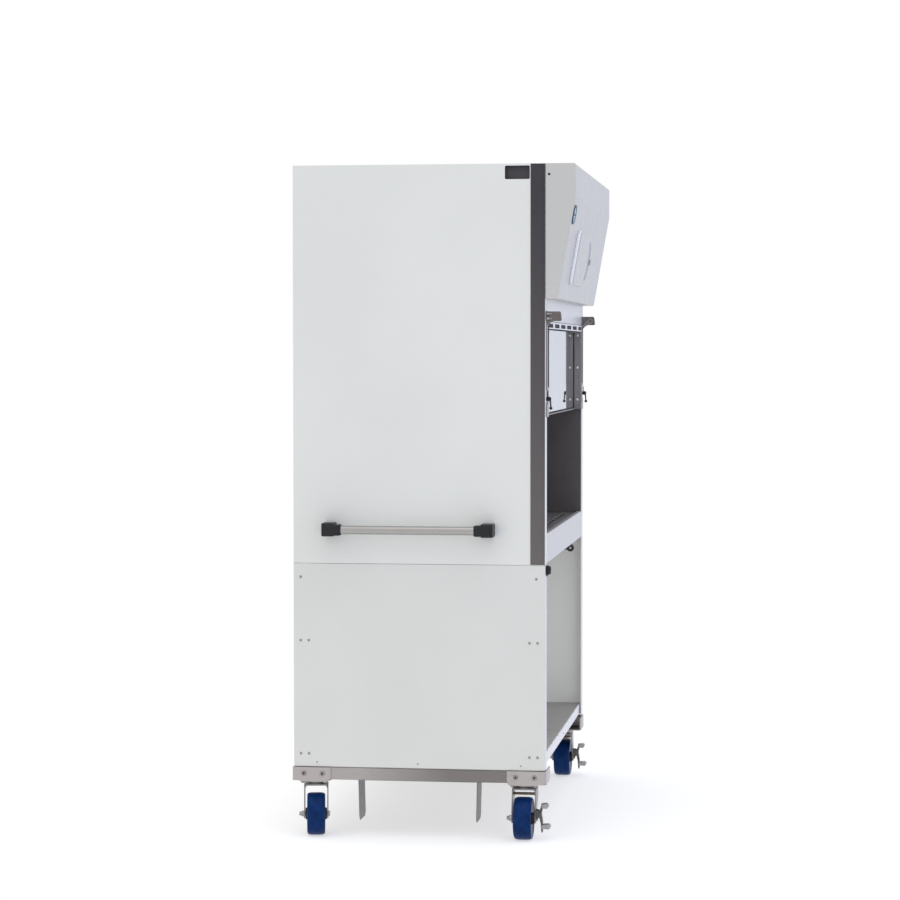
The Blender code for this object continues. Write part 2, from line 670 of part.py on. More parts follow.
# ---------------------------------------------------------------- work chamber
def chamber_liner():
    """Stainless tub: two side walls, back wall with its return slots, drain pan, low front."""
    inner = JAMB - SHEET
    front = FRONT + 0.0025
    outer = boxes(((-JAMB, JAMB), (front, CHAMBER_BACK), (PAN_BOTTOM, LINER_TOP)))
    space = boxes(((-inner, inner), (FRONT + 0.0145, CHAMBER_BACK - SHEET),
                   (PAN_BOTTOM + SHEET, LINER_TOP + 0.1)))
    mouth = boxes(((-inner, inner), (FRONT - 0.05, FRONT + 0.020), (0.895, LINER_TOP + 0.1)))
    under = boxes(((-inner, inner), (FRONT - 0.05, FRONT + 0.0125), (PAN_BOTTOM - 0.05, 0.900)))
    count, width, pitch = 8, 0.100, 0.135
    slots = boxes(*[((x - width / 2, x + width / 2), (CHAMBER_BACK - 0.02, CHAMBER_BACK + 0.02),
                     (0.930, 0.942)) for x in
                    [(k - (count - 1) / 2) * pitch for k in range(count)]])
    piece("chamber_liner", cut(outer, space, mouth, under, slots), "stainless")


def work_tray():
    """Lift-out work surface on two side skirts, with a slotted grille along its front."""
    half = JAMB - SHEET - 0.002
    front, back = FRONT + 0.0165, CHAMBER_BACK - SHEET - 0.0015
    sheet = boxes(((-half, half), (front, back), (TRAY_TOP - SHEET, TRAY_TOP)))
    skirts = boxes(*[((side * half, side * (half - SHEET)), (front + 0.010, back - 0.001),
                      (PAN_BOTTOM + SHEET + GAP, TRAY_TOP - 0.001)) for side in (-1, 1)])
    count, width, pitch = 12, 0.070, 0.092
    slots = boxes(*[((x - width / 2, x + width / 2), (front + 0.030, front + 0.042),
                     (TRAY_TOP - 0.01, TRAY_TOP + 0.01)) for x in
                    [(k - (count - 1) / 2) * pitch for k in range(count)]])
    piece("work_tray", cut(union(sheet, skirts), slots), "stainless")


def work_lamp():
    """Lamp bar behind the header, over the work opening."""
    half = 0.450
    outline = [(FRONT + 0.003, 1.5440), (FRONT + 0.003, 1.585), (FRONT + 0.018, 1.590),
               (FRONT + 0.035, 1.575), (FRONT + 0.035, 1.553), (FRONT + 0.024, 1.5440)]
    piece("work_lamp", shape(add_prism, outline, "X", (-half, half)), "lamp_white")


def filter_box(name, half, y, z):
    """Framed filter: the media sits a little below the frame on both faces."""
    edge, sink = 0.020, 0.006
    body = boxes(((-half, half), y, z))
    faces = boxes(((-half + edge, half - edge), (y[0] + edge, y[1] - edge), (z[1] - sink, z[1] + 0.1)),
                  ((-half + edge, half - edge), (y[0] + edge, y[1] - edge), (z[0] - 0.1, z[0] + sink)))
    piece(name, cut(body, faces), "filter_media")


def blower_mount():
    """Bridge over the supply filter that carries the blower's motor."""
    low, top = SUPPLY_FILTER[1] + GAP, 1.7030
    plate = boxes(((-0.200, 0.200), (BLOWER_Y - 0.160, BLOWER_Y + 0.160), (top - 0.003, top)))
    feet = boxes(*[((side * 0.200, side * 0.197), (BLOWER_Y - 0.160, BLOWER_Y + 0.160),
                    (low, top - 0.001)) for side in (-1, 1)])
    motor = shape(add_cylinder, (0, BLOWER_Y, top - 0.001), (0, BLOWER_Y, top + 0.042), 0.045, 24)
    shaft = shape(add_cylinder, (0, BLOWER_Y, top + 0.040), (0, BLOWER_Y, top + 0.085), 0.006)
    piece("blower_mount", union(plate, feet, motor, shaft), "zinc")


def blower_wheel():
    """Backward-curved impeller on the motor's shaft."""
    base = 1.7465 - 1.703
    disc = shape(add_turned, [(0.0063, base), (0.140, base), (0.140, base + 0.003),
                              (0.025, base + 0.003), (0.025, base + 0.025), (0.0063, base + 0.025)],
                 Matrix.Identity(4), segments=24, ring=True)
    rim = shape(add_turned, [(0.090, base + 0.075), (0.140, base + 0.068), (0.140, base + 0.071),
                             (0.090, base + 0.078)], Matrix.Identity(4), segments=24, ring=True)
    blades = bmesh.new()
    count, lean, thick = 7, math.radians(50), 0.0015
    for k in range(count):
        turn = 2 * math.pi * k / count
        root = Vector((0.100 * math.cos(turn), 0.100 * math.sin(turn)))
        along = Vector((math.cos(turn + lean), math.sin(turn + lean)))
        across = Vector((-along.y, along.x)) * thick
        start, end = root - along * 0.028, root + along * 0.038
        outline = [tuple(start - across), tuple(end - across), tuple(end + across), tuple(start + across)]
        add_prism(blades, outline, "Z", (base + 0.002, base + 0.0715))
    bmesh.ops.recalc_face_normals(blades, faces=blades.faces)
    piece("blower_wheel", union(disc, blades, rim), "zinc", location=(0, BLOWER_Y, 1.703))


# ---------------------------------------------------------------- sash
def sash_frame():
    """Stainless window frame: slotted top rail, side rails, lower edge and hinge lugs."""
    flange = (FLANGE_FRONT, FLANGE_BACK)
    rear = FRONT + SASH_DEPTH
    wall = 0.0025
    top_low = 1.5150
    parts = []
    for side in (-1, 1):
        web_out, web_in = side * SASH_HALF, side * (SASH_HALF - wall)
        parts.append(boxes((((web_in), side * SASH_FLANGE), flange, (SASH_BOTTOM, SASH_TOP))))
        parts.append(boxes(((web_in, web_out), (FLANGE_FRONT + 0.001, rear),
                            (SASH_BOTTOM + 0.0002, SASH_TOP - 0.0002))))
        parts.append(boxes(((side * 0.545, side * (SASH_HALF - 0.001)),
                            (rear - 0.0022, rear - 0.0001), (SASH_BOTTOM + 0.0004, SASH_TOP - 0.0004))))
    inner = SASH_HALF - 0.001
    parts.append(boxes(((-inner, inner), (FLANGE_FRONT + 0.0001, FLANGE_BACK - 0.0001),
                        (top_low, SASH_TOP - 0.0001))))
    parts.append(boxes(((-inner, inner), (FLANGE_FRONT + 0.001, rear - 0.0002),
                        (SASH_TOP - wall, SASH_TOP - 0.0003))))
    parts.append(boxes(((-inner, inner), (rear - 0.0021, rear - 0.0003),
                        (1.5200, SASH_TOP - 0.0010))))
    parts.append(boxes(((-inner, inner), (FRONT + 0.0180, rear - 0.0004),
                        (SASH_BOTTOM + 0.0001, SASH_BOTTOM + 0.0030))))
    frame = union(*parts)
    count, width, pitch = 6, 0.150, 0.200
    slots = boxes(*[((x - width / 2, x + width / 2), (FRONT - 0.01, FRONT + 0.01), (1.5230, 1.5350))
                    for x in [(k - (count - 1) / 2) * pitch for k in range(count)]])
    notches = boxes(*[((side * 0.592, side * 0.630), (FRONT - 0.01, FRONT), (1.297, 1.337))
                      for side in (-1, 1)])
    frame = cut(frame, slots, notches)
    screws = cylinders([((side * (SASH_HALF - wall + 0.001), FRONT + 0.012, z),
                         (side * (SASH_HALF - wall - 0.002), FRONT + 0.012, z))
                        for side in (-1, 1) for z in (1.290, 1.398, 1.507)], 0.004, HEAD_SIDES)
    frame = union(frame, screws)
    for side in (-1, 1):
        frame = union(frame, hinge_lug(side))
    holes = cylinders([((side * 0.585, HINGE_Y, HINGE_Z), (side * 0.600, HINGE_Y, HINGE_Z))
                       for side in (-1, 1)], PIN_RADIUS + GAP, 14)
    frame = cut(frame, holes)
    bmesh.ops.translate(frame, verts=frame.verts, vec=(0, -HINGE_Y, -HINGE_Z))
    return frame


def hinge_lug(side):
    """Ear that reaches from the sash's flange up and out to the hinge pin."""
    radius = 0.009
    arc = [math.radians(a) for a in range(30, 247, 36)]
    outline = [(HINGE_Y + radius * math.cos(a), HINGE_Z + radius * math.sin(a)) for a in arc]
    outline += [(FLANGE_FRONT - 0.009, 1.5370), (FLANGE_FRONT + 0.001, 1.5260),
                (FLANGE_FRONT + 0.001, 1.5385)]
    return shape(add_prism, outline, "X", (side * 0.5903, side * 0.5943))


def sash_glass(parent):
    """Clear pane held in the back of the sash frame."""
    half = SASH_HALF - 0.0025 - GAP
    bm = boxes(((-half, half), (GLASS_FRONT, GLASS_FRONT + GLASS_THICKNESS),
                (SASH_BOTTOM + 0.0034, SASH_TOP - 0.0032)))
    bmesh.ops.translate(bm, verts=bm.verts, vec=(0, -HINGE_Y, -HINGE_Z))
    piece("sash_glass", bm, "glass", parent=parent)


def sash():
    """The sash hangs on an empty on the hinge axis."""
    hinge = pivot("sash_hinge_axis", (0, HINGE_Y, HINGE_Z))
    piece("sash_frame", sash_frame(), "stainless", parent=hinge)
    sash_glass(hinge)


def sash_hinge(side):
    """Fixed hinge bracket on a post: foot, arm, pin and two clamping studs."""
    low, high = HEADER_BOTTOM + 0.0005, 1.5705
    foot = boxes(((side * 0.5976, side * 0.6345), (FRONT - 0.0033, FRONT - GAP), (low, high)))
    outline = [(FRONT - 0.0006, low + 0.0002), (FRONT - 0.0453, low + 0.0002),
               (FRONT - 0.0420, high - 0.0002), (FRONT - 0.0006, high - 0.0002)]
    arm = shape(add_prism, outline, "X", (side * 0.5970, side * 0.6005))
    pin = shape(add_cylinder, (side * 0.5890, HINGE_Y, HINGE_Z), (side * 0.5980, HINGE_Y, HINGE_Z),
                PIN_RADIUS, 12)
    studs = cylinders([((side * 0.617, FRONT - 0.003, z), (side * 0.617, FRONT - 0.018, z))
                       for z in (1.549, 1.563)], 0.0036, 10)
    piece("sash_hinge_" + side_name(side), union(foot, arm, pin, studs), "stainless")


def sash_latch(side):
    """Turning latch on a post: knob, tongue that points up when open, lever with a ball."""
    base, front = -0.0005, -0.0145
    turn = Matrix.Rotation(math.pi / 2, 4, "X")
    knob = shape(add_turned, [(0.0052, -base), (0.0060, 0.006), (0.0068, 0.009), (0.0062, 0.0130),
                              (0.0040, -front)], turn, segments=16)
    tongue = boxes(((-0.0040, 0.0040), (-0.0057, -0.0037), (0.0, 0.0230)))
    stem_y = -0.0115
    stem = shape(add_cylinder, (0, stem_y, -0.002), (0, stem_y - 0.002, -0.0250), 0.0022, 10)
    ball = bmesh.new()
    bmesh.ops.create_icosphere(ball, subdivisions=2, radius=0.0048,
                               matrix=Matrix.Translation((0, stem_y - 0.002, -0.0275)))
    piece("sash_latch_" + side_name(side), union(knob, tongue, stem, ball), "black_plastic",
          location=(side * LATCH_X, FRONT, LATCH_Z), smooth=True)


# ---------------------------------------------------------------- services and handles
def drain_valve():
    """Drain cock under the pan: a body with a side spindle, and the lever that turns on it."""
    body = shape(add_cylinder, (DRAIN_X, DRAIN_Y, 0.786), (DRAIN_X, DRAIN_Y, PAN_BOTTOM - GAP), 0.009)
    spindle = shape(add_cylinder, (DRAIN_X - 0.005, DRAIN_Y, DRAIN_SPINDLE_Z),
                    (DRAIN_X - 0.0195, DRAIN_Y, DRAIN_SPINDLE_Z), 0.0034, 12)
    piece("drain_valve_body", union(body, spindle), "zinc")
    arc = [math.radians(a) for a in range(60, 331, 30)]
    outline = [(0.0125 * math.cos(a), 0.0125 * math.sin(a)) for a in arc]
    outline += [(0.0235, -0.0060), (0.0245, 0.0010), (0.0140, 0.0080)]
    lever = shape(add_prism, outline, "X", (-0.0165, -0.0100))
    hole = shape(add_cylinder, (-0.02, 0, 0), (0, 0, 0), 0.0037, 12)
    piece("drain_valve_lever", cut(lever, hole), "black_plastic",
          location=(DRAIN_X, DRAIN_Y, DRAIN_SPINDLE_Z))


def service_knob():
    """Rotary knob of the service valve on the left post, with a pointer."""
    turn = Matrix.Rotation(math.pi / 2, 4, "X")
    knob = shape(add_turned, [(0.0140, GAP), (0.0140, 0.0060), (0.0125, 0.0110), (0.0090, 0.0150)],
                 turn, segments=18)
    pointer = boxes(((-0.0022, 0.0022), (-0.0050, -0.0010), (-0.0180, -0.0120)))
    piece("service_knob", union(knob, pointer), "black_plastic",
          location=(SERVICE_KNOB[0], FRONT, SERVICE_KNOB[1]), smooth=True)


def side_handle(side):
    """Push handle: a tube whose ends sit in two moulded brackets."""
    x = side * HANDLE_X
    inset = BRACKET_LENGTH - 0.032
    outline = [(HANDLE_RADIUS - 0.0015, 0), (HANDLE_RADIUS, 0)]
    length = HANDLE_ENDS[1] - HANDLE_ENDS[0] - 2 * inset
    outline += [(HANDLE_RADIUS, length), (HANDLE_RADIUS - 0.0015, length)]
    turn = Matrix.Rotation(-math.pi / 2, 4, "X")
    tube = shape(add_turned, outline, turn, segments=24, ring=True)
    piece("side_handle_" + side_name(side), tube, "stainless",
          location=(x, HANDLE_ENDS[0] + inset, HANDLE_Z), smooth=True)
    for end, start, inward in (("front", HANDLE_ENDS[0], 1), ("rear", HANDLE_ENDS[1], -1)):
        handle_bracket("handle_bracket_%s_%s" % (end, side_name(side)), side, start, inward)


def handle_bracket(name, side, start, inward):
    """Moulded bracket: a block on the panel and a stepped sleeve around the tube's end."""
    block = boxes(((side * (SIDE + GAP), side * (HANDLE_X + 0.0165)),
                   (start, start + inward * 0.036), (HANDLE_Z - 0.0190, HANDLE_Z + 0.0205)))
    sleeve = boxes(((side * (HANDLE_X - 0.0165), side * (HANDLE_X + 0.0190)),
                    (start + inward * 0.0060, start + inward * BRACKET_LENGTH),
                    (HANDLE_Z - 0.0165, HANDLE_Z + 0.0165)))
    for bm, size in ((block, 0.004), (sleeve, 0.004)):
        bmesh.ops.bevel(bm, geom=[e for e in bm.edges if abs(e.verts[0].co.x - e.verts[1].co.x) < 1e-6],
                        offset=size, segments=1, affect="EDGES")
    bore = shape(add_cylinder,
                 (side * HANDLE_X, start + inward * (BRACKET_LENGTH - 0.032 - GAP), HANDLE_Z),
                 (side * HANDLE_X, start + inward * 0.080, HANDLE_Z), HANDLE_RADIUS + GAP, 24)
    piece(name, cut(union(block, sleeve), bore), "black_plastic")


def power_inlet():
    """Mains inlet socket in the back panel."""
    x, z = INLET_PLACE
    seat = BACK - SHEET         # the flange lies on the back panel
    flange = boxes(((x - 0.025, x + 0.025), (seat, seat + 0.003), (z - 0.015, z + 0.015)))
    body = boxes(((x - 0.0145, x + 0.0145), (BACK - 0.030, seat + 0.001), (z - 0.0105, z + 0.0105)))
    socket = boxes(((x - 0.012, x + 0.012), (BACK - 0.018, BACK + 0.01), (z - 0.008, z + 0.008)))
    blades = boxes(*[((x + dx - 0.001, x + dx + 0.001), (BACK - 0.019, BACK - 0.004),
                      (z + dz - 0.002, z + dz + 0.002)) for dx, dz in ((-0.006, -0.002), (0.006, -0.002),
                                                                      (0, 0.003))])
    piece("power_inlet", union(cut(union(flange, body), socket), blades), "black_plastic")


def inlet_hole():
    """Limits of the opening in the back panel that takes the inlet."""
    x, z = INLET_PLACE
    return (x - 0.015, x + 0.015), (BACK - 0.02, BACK + 0.02), (z - 0.011, z + 0.011)


def build():
    """Make every piece of the assembly."""
    clear_scene()
    base_frame()
    for corner, (side, end, _) in CASTERS.items():
        corner_plate("corner_plate_" + corner, side, end)
        caster(corner)
    columns = (-0.560, 0.0, 0.560)
    back_panel("lower_back_panel", LOWER_BOTTOM + 0.001, LOWER_TOP - 0.001, columns)
    back_panel("upper_back_panel", UPPER_BOTTOM + 0.001, TOP_SHEET - 0.002, columns, inlet_hole())
    lower_shelf()
    for side in (-1, 1):
        fork_guide(side)
        lower_side_panel(side)
        upper_side_panel(side)
        trim_strip(side)
        sash_hinge(side)
        sash_latch(side)
        side_handle(side)
    top_panel()
    header_panel()
    front_sill()
    head_housing()
    pressure_gauge()
    control_panel()
    power_button()
    chamber_liner()
    work_tray()
    work_lamp()
    filter_box("supply_filter", 0.583, (FRONT + 0.050, CHAMBER_BACK - 0.005), SUPPLY_FILTER)
    filter_box("exhaust_filter", 0.305, (0.050, 0.360), EXHAUST_FILTER)
    blower_mount()
    blower_wheel()
    sash()
    drain_valve()
    service_knob()
    power_inlet()


build()
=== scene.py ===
"""Looks of a mobile fume hood: fine meshes, materials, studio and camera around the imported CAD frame.

Metres, +Z up, front towards -Y. Every place comes from the frame's boxes and joints or from a named size.
"""
import json
import math

import bmesh
import bpy
from mathutils import Matrix, Vector


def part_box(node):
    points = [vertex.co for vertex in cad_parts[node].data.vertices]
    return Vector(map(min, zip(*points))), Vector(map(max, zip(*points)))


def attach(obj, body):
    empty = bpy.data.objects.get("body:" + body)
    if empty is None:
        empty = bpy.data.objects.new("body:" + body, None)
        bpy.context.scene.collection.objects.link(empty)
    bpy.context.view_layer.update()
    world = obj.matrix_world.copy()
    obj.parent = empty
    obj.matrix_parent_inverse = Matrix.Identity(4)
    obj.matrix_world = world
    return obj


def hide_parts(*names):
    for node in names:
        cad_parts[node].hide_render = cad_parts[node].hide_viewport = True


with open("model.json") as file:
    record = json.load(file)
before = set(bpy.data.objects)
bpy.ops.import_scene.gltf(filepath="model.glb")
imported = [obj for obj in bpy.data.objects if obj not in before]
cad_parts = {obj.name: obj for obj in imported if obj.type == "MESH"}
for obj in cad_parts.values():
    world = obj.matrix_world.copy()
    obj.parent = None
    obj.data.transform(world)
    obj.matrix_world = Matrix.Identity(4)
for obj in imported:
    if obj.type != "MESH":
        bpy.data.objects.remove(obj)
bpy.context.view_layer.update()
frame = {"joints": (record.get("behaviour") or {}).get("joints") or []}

JOINTS = {joint["name"]: joint for joint in frame["joints"]}
SIDES = (("left", -1), ("right", 1))
CORNERS = (("front_left", -1, -1), ("front_right", 1, -1), ("rear_left", -1, 1), ("rear_right", 1, 1))

# ---------------------------------------------------------------- places read from the frame
SHEET = 0.002                                   # thickness of the folded panels
BEND = 0.0035                                   # outer radius of a fold
panel_low, panel_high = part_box("upper_side_panel_right")
SIDE, FRONT, BACK = panel_high.x, panel_low.y, panel_high.y
POST = SIDE - panel_low.x                       # width of the post beside the opening
REAR_RETURN = 0.025
UPPER_LOW, UPPER_HIGH = panel_low.z, panel_high.z
LOWER_LOW, LOWER_HIGH = (corner.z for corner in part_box("lower_side_panel_right"))
RAIL_LOW, RAIL_HIGH = (corner.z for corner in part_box("base_frame"))
GAP = 0.0003
GAUGE_PLACE = (-0.604, 1.8555)                  # x and z on the head's slope
PAD_PLACE = (-0.1, 1.738)
BACK_SCREWS = (-0.56, 0.0, 0.56)
OUT, UP = (0, -1, 0), (0, 0, 1)                 # out of the front, and up


# ---------------------------------------------------------------- mesh building
def absorb(bm, part, matrix=None):
    """Move a finished closed shape into a piece's bmesh."""
    bmesh.ops.recalc_face_normals(part, faces=part.faces)
    if matrix:
        bmesh.ops.transform(part, matrix=matrix, verts=part.verts)
    mesh = bpy.data.meshes.new("part")
    part.to_mesh(mesh)
    part.free()
    bm.from_mesh(mesh)
    bpy.data.meshes.remove(mesh)


def slab(bm, x, y, z, edge=0.0006, segments=2):
    """Box from its limits along each axis, in any order, with rounded edges."""
    low = Vector((min(x), min(y), min(z)))
    high = Vector((max(x), max(y), max(z)))
    part = bmesh.new()
    matrix = Matrix.Translation((low + high) / 2) @ Matrix.Diagonal((high - low).to_4d())
    bmesh.ops.create_cube(part, size=1.0, matrix=matrix)
    bmesh.ops.bevel(part, geom=part.edges[:], offset=edge, segments=segments, profile=0.5, affect="EDGES")
    absorb(bm, part)


def turned(bm, outline, base, axis, segments=40, ring=False):
    """Turn (radius, height) pairs about an axis; a ring's outline closes on itself."""
    turn = Vector(axis).to_track_quat("Z", "Y").to_matrix().to_4x4()
    matrix = Matrix.Translation(Vector(base)) @ turn
    part = bmesh.new()
    rings = []
    for radius, height in outline:
        rings.append([part.verts.new((radius * math.cos(2 * math.pi * k / segments),
                                      radius * math.sin(2 * math.pi * k / segments), height))
                      for k in range(segments)])
    pairs = list(zip(rings, rings[1:]))
    if ring:
        pairs.append((rings[-1], rings[0]))
    else:
        part.faces.new(rings[0])
        part.faces.new(rings[-1])
    for low, high in pairs:
        for k in range(segments):
            after = (k + 1) % segments
            part.faces.new((low[k], low[after], high[after], high[k]))
    absorb(bm, part, matrix)


def rod(bm, start, end, radius, segments=28, edge=0.0004):
    """Cylinder between two points with chamfered ends."""
    start, end = Vector(start), Vector(end)
    length = (end - start).length
    outline = [(radius - edge, 0), (radius, edge), (radius, length - edge), (radius - edge, length)]
    turned(bm, outline, start, end - start, segments)


def pipe(bm, start, end, radius, wall, segments=64):
    """Open tube between two points."""
    start, end = Vector(start), Vector(end)
    length = (end - start).length
    outline = [(radius - wall, 0), (radius, 0), (radius, length), (radius - wall, length)]
    turned(bm, outline, start, end - start, segments, ring=True)


def in_plane(axis, first, second, level):
    """Point from its two coordinates in the plane across an axis: (y, z), (x, z) or (x, y)."""
    return {"X": (level, first, second), "Y": (first, level, second), "Z": (first, second, level)}[axis]


def prism(bm, outline, axis, limits, edge=0.0, segments=2):
    """Extrude an outline along an axis, with the edges of its two ends rounded."""
    low, high = min(limits), max(limits)
    part = bmesh.new()
    face = part.faces.new([part.verts.new(in_plane(axis, *point, low)) for point in outline])
    grown = bmesh.ops.extrude_face_region(part, geom=[face])["geom"]
    moved = [item for item in grown if isinstance(item, bmesh.types.BMVert)]
    bmesh.ops.translate(part, verts=moved, vec=Vector(in_plane(axis, 0.0, 0.0, high - low)))
    if edge:
        index = "XYZ".index(axis)
        rims = [e for e in part.edges if abs(e.verts[0].co[index] - e.verts[1].co[index]) < 1e-7]
        bmesh.ops.bevel(part, geom=rims, offset=edge, segments=segments, profile=0.5, affect="EDGES")
    absorb(bm, part)


def arc(centre, radius, start, end, steps=8, height=None):
    """Points on an arc, angles in degrees; a height makes it part of an ellipse."""
    height = height or radius
    angles = [math.radians(start + (end - start) * k / steps) for k in range(steps + 1)]
    return [(centre[0] + radius * math.cos(a), centre[1] + height * math.sin(a)) for a in angles]


def circle(centre, radius):
    """Outline of a round hole."""
    return arc(centre, radius, 0, 345, 23)


def rounded_rectangle(x, y, radius, steps=5):
    """Outline of a rectangle with round corners, from its limits."""
    x, y = sorted(x), sorted(y)
    points = []
    for centre, start in (((x[1] - radius, y[0] + radius), -90), ((x[1] - radius, y[1] - radius), 0),
                          ((x[0] + radius, y[1] - radius), 90), ((x[0] + radius, y[0] + radius), 180)):
        points += arc(centre, radius, start, start + 90, steps)
    return points


def rounded_path(points, radius, steps=5):
    """Open path whose inner corners are arcs."""
    path = [Vector(points[0])]
    for before, corner, after in zip(points, points[1:], points[2:]):
        corner = Vector(corner)
        into, out = (Vector(before) - corner).normalized(), (Vector(after) - corner).normalized()
        half = into.angle(out) / 2
        reach = radius / math.tan(half)
        centre = corner + (into + out).normalized() * (radius / math.sin(half))
        first, last = corner + into * reach - centre, corner + out * reach - centre
        sweep = first.angle_signed(last)
        for k in range(steps + 1):
            turn = Matrix.Rotation(-sweep * k / steps, 2)
            path.append(centre + turn @ first)
    path.append(Vector(points[-1]))
    return path


def thicken(path, thick):
    """Outline of a sheet whose outer face follows a path."""
    inner = []
    for index, point in enumerate(path):
        along = (path[min(index + 1, len(path) - 1)] - path[max(index - 1, 0)]).normalized()
        inner.append(point + Vector((-along.y, along.x)) * thick)
    return [tuple(p) for p in path + inner[::-1]]


def fold(bm, points, axis, limits, thick=SHEET, radius=BEND, side=1):
    """Folded sheet: its outer face follows a path, and its thickness lies to one side of it."""
    prism(bm, thicken(rounded_path(points, radius), thick * side), axis, limits)


def plate(bm, outline, axis, limits, holes=(), edge=0.0004):
    """Flat plate with holes through it and rounded edges, from closed outlines in its plane."""
    low, high = min(limits), max(limits)
    curve = bpy.data.curves.new("plate", "CURVE")
    curve.dimensions = "2D"
    curve.fill_mode = "BOTH"
    curve.extrude = (high - low) / 2 - edge
    curve.bevel_depth = edge
    curve.bevel_resolution = 1
    curve.offset = -edge
    for points in (outline, *holes):
        spline = curve.splines.new("POLY")
        spline.points.add(len(points) - 1)
        for place, point in zip(spline.points, points):
            place.co = (point[0], point[1], 0, 1)
        spline.use_cyclic_u = True
    shape = bpy.data.objects.new("plate", curve)
    mesh = shape.to_mesh()
    part = bmesh.new()
    part.from_mesh(mesh)
    shape.to_mesh_clear()
    bpy.data.objects.remove(shape)
    bpy.data.curves.remove(curve)
    bmesh.ops.remove_doubles(part, verts=part.verts, dist=1e-6)
    for vert in part.verts:
        vert.co = in_plane(axis, vert.co.x, vert.co.y, vert.co.z + (low + high) / 2)
    absorb(bm, part)


def carve(bm, cutter):
    """Take a closed shape away from a piece; both bmeshes are used up."""
    items = []
    for source in (bm, cutter):
        mesh = bpy.data.meshes.new("carve")
        source.to_mesh(mesh)
        source.free()
        items.append(bpy.data.objects.new("carve", mesh))
        bpy.context.scene.collection.objects.link(items[-1])
    modifier = items[0].modifiers.new("carve", "BOOLEAN")
    modifier.operation = "DIFFERENCE"
    modifier.solver = "EXACT"
    modifier.object = items[1]
    bpy.context.view_layer.update()
    result = bmesh.new()
    result.from_object(items[0], bpy.context.evaluated_depsgraph_get())
    for item in items:
        mesh = item.data
        bpy.data.objects.remove(item)
        bpy.data.meshes.remove(mesh)
    return result


def screw_head(bm, place, axis, radius, height, segments=24):
    """Domed head with a round-bottomed socket, standing on a surface."""
    socket = radius * 0.42
    outline = [(0.0004, height * 0.45), (socket, height * 0.45), (socket, height * 0.95),
               (radius * 0.62, height), (radius * 0.86, height * 0.78), (radius * 0.98, height * 0.42),
               (radius, 0), (0.0004, 0)]
    turned(bm, outline, place, axis, segments, ring=True)


def hex_head(bm, place, axis, radius, height):
    """Hexagonal bolt head or nut with a chamfered top on a round washer."""
    turned(bm, [(radius * 1.12, 0), (radius * 1.12, 0.0009)], place, axis, 28)
    turned(bm, [(radius, 0.0009), (radius, height * 0.86), (radius * 0.88, height)], place, axis, 6)


def piece(name, bm, material, node=None, body="cabinet", smooth=38, place=None):
    """Finish a bmesh as one piece that rides on a CAD body and may stand for a CAD node."""
    if place:
        bmesh.ops.recalc_face_normals(bm, faces=bm.faces)
        bmesh.ops.transform(bm, matrix=place, verts=bm.verts)
    mesh = bpy.data.meshes.new(name)
    bm.to_mesh(mesh)
    bm.free()
    mesh.shade_smooth()
    mesh.set_sharp_from_angle(angle=math.radians(smooth))
    mesh.materials.append(material)
    item = bpy.data.objects.new(name, mesh)
    bpy.context.scene.collection.objects.link(item)
    flats = item.modifiers.new("flat faces stay flat", "WEIGHTED_NORMAL")
    flats.keep_sharp = True
    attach(item, body)
    if node:
        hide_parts(node)


def slab_pair(bm, outer, inner, y, z, edge):
    """Two mirrored slabs, between their outer and inner distance from the middle plane."""
    for side in (-1, 1):
        slab(bm, (side * outer, side * inner), y, z, edge)


def centred(x, y, half_x, half_y, radius, steps=5):
    """Rounded rectangle from its centre and half sizes."""
    return rounded_rectangle((x - half_x, x + half_x), (y - half_y, y + half_y), radius, steps)


def slot_row(count, pitch, y, width, height):
    """Outlines of a row of slots with round ends."""
    return [centred((k - (count - 1) / 2) * pitch, y, width / 2, height / 2, height / 2 - 0.0001, 4)
            for k in range(count)]


def screws(name, places, axis, radius, height, material=None, segments=24, body="cabinet"):
    """Screw heads that stand on one face, as one piece."""
    bm = bmesh.new()
    for place in places:
        screw_head(bm, place, axis, radius, height, segments)
    piece(name, bm, material or SCREW, body=body)


# ---------------------------------------------------------------- materials
def add_node(tree, kind, values=None, links=None, **settings):
    """New shader node: values and sources go to its inputs, settings to its own properties."""
    made = tree.nodes.new("ShaderNode" + kind)
    for key, value in settings.items():
        setattr(made, key, value)
    for key, value in (values or {}).items():
        made.inputs[key].default_value = value
    for key, source in (links or {}).items():
        tree.links.new(getattr(source, "outputs", [source])[0], made.inputs[key])
    return made


def colour_ramp(tree, source, first, last, *between):
    """Colour ramp from (position, colour) stops."""
    made = add_node(tree, "ValToRGB", links={"Fac": source})
    elements = made.color_ramp.elements
    for element, (position, colour) in zip(elements, (first, last)):
        element.position, element.color = position, (*colour, 1.0)
    for position, colour in between:
        elements.new(position).color = (*colour, 1.0)
    return made


def start_material(name, colour, roughness, metallic=0.0, **socket_shades):
    """New Principled material's tree and shader; sockets are set by name, with _ for a space."""
    made = bpy.data.materials.new(name)
    made.use_nodes = True
    shader = made.node_tree.nodes["Principled BSDF"]
    shader.inputs["Base Color"].default_value = (*colour, 1.0)
    shader.inputs["Roughness"].default_value = roughness
    shader.inputs["Metallic"].default_value = metallic
    for key, value in socket_shades.items():
        shader.inputs[key.replace("_", " ")].default_value = value
    return made, made.node_tree, shader


def noise(tree, scale, detail=3.0, stretch=(1, 1, 1)):
    """Noise in the object's own space; stretch multiplies each axis's frequency."""
    place = add_node(tree, "TexCoord").outputs["Object"]
    mapped = add_node(tree, "Mapping", {"Scale": stretch}, {"Vector": place})
    return add_node(tree, "TexNoise", {"Scale": scale, "Detail": detail}, {"Vector": mapped})


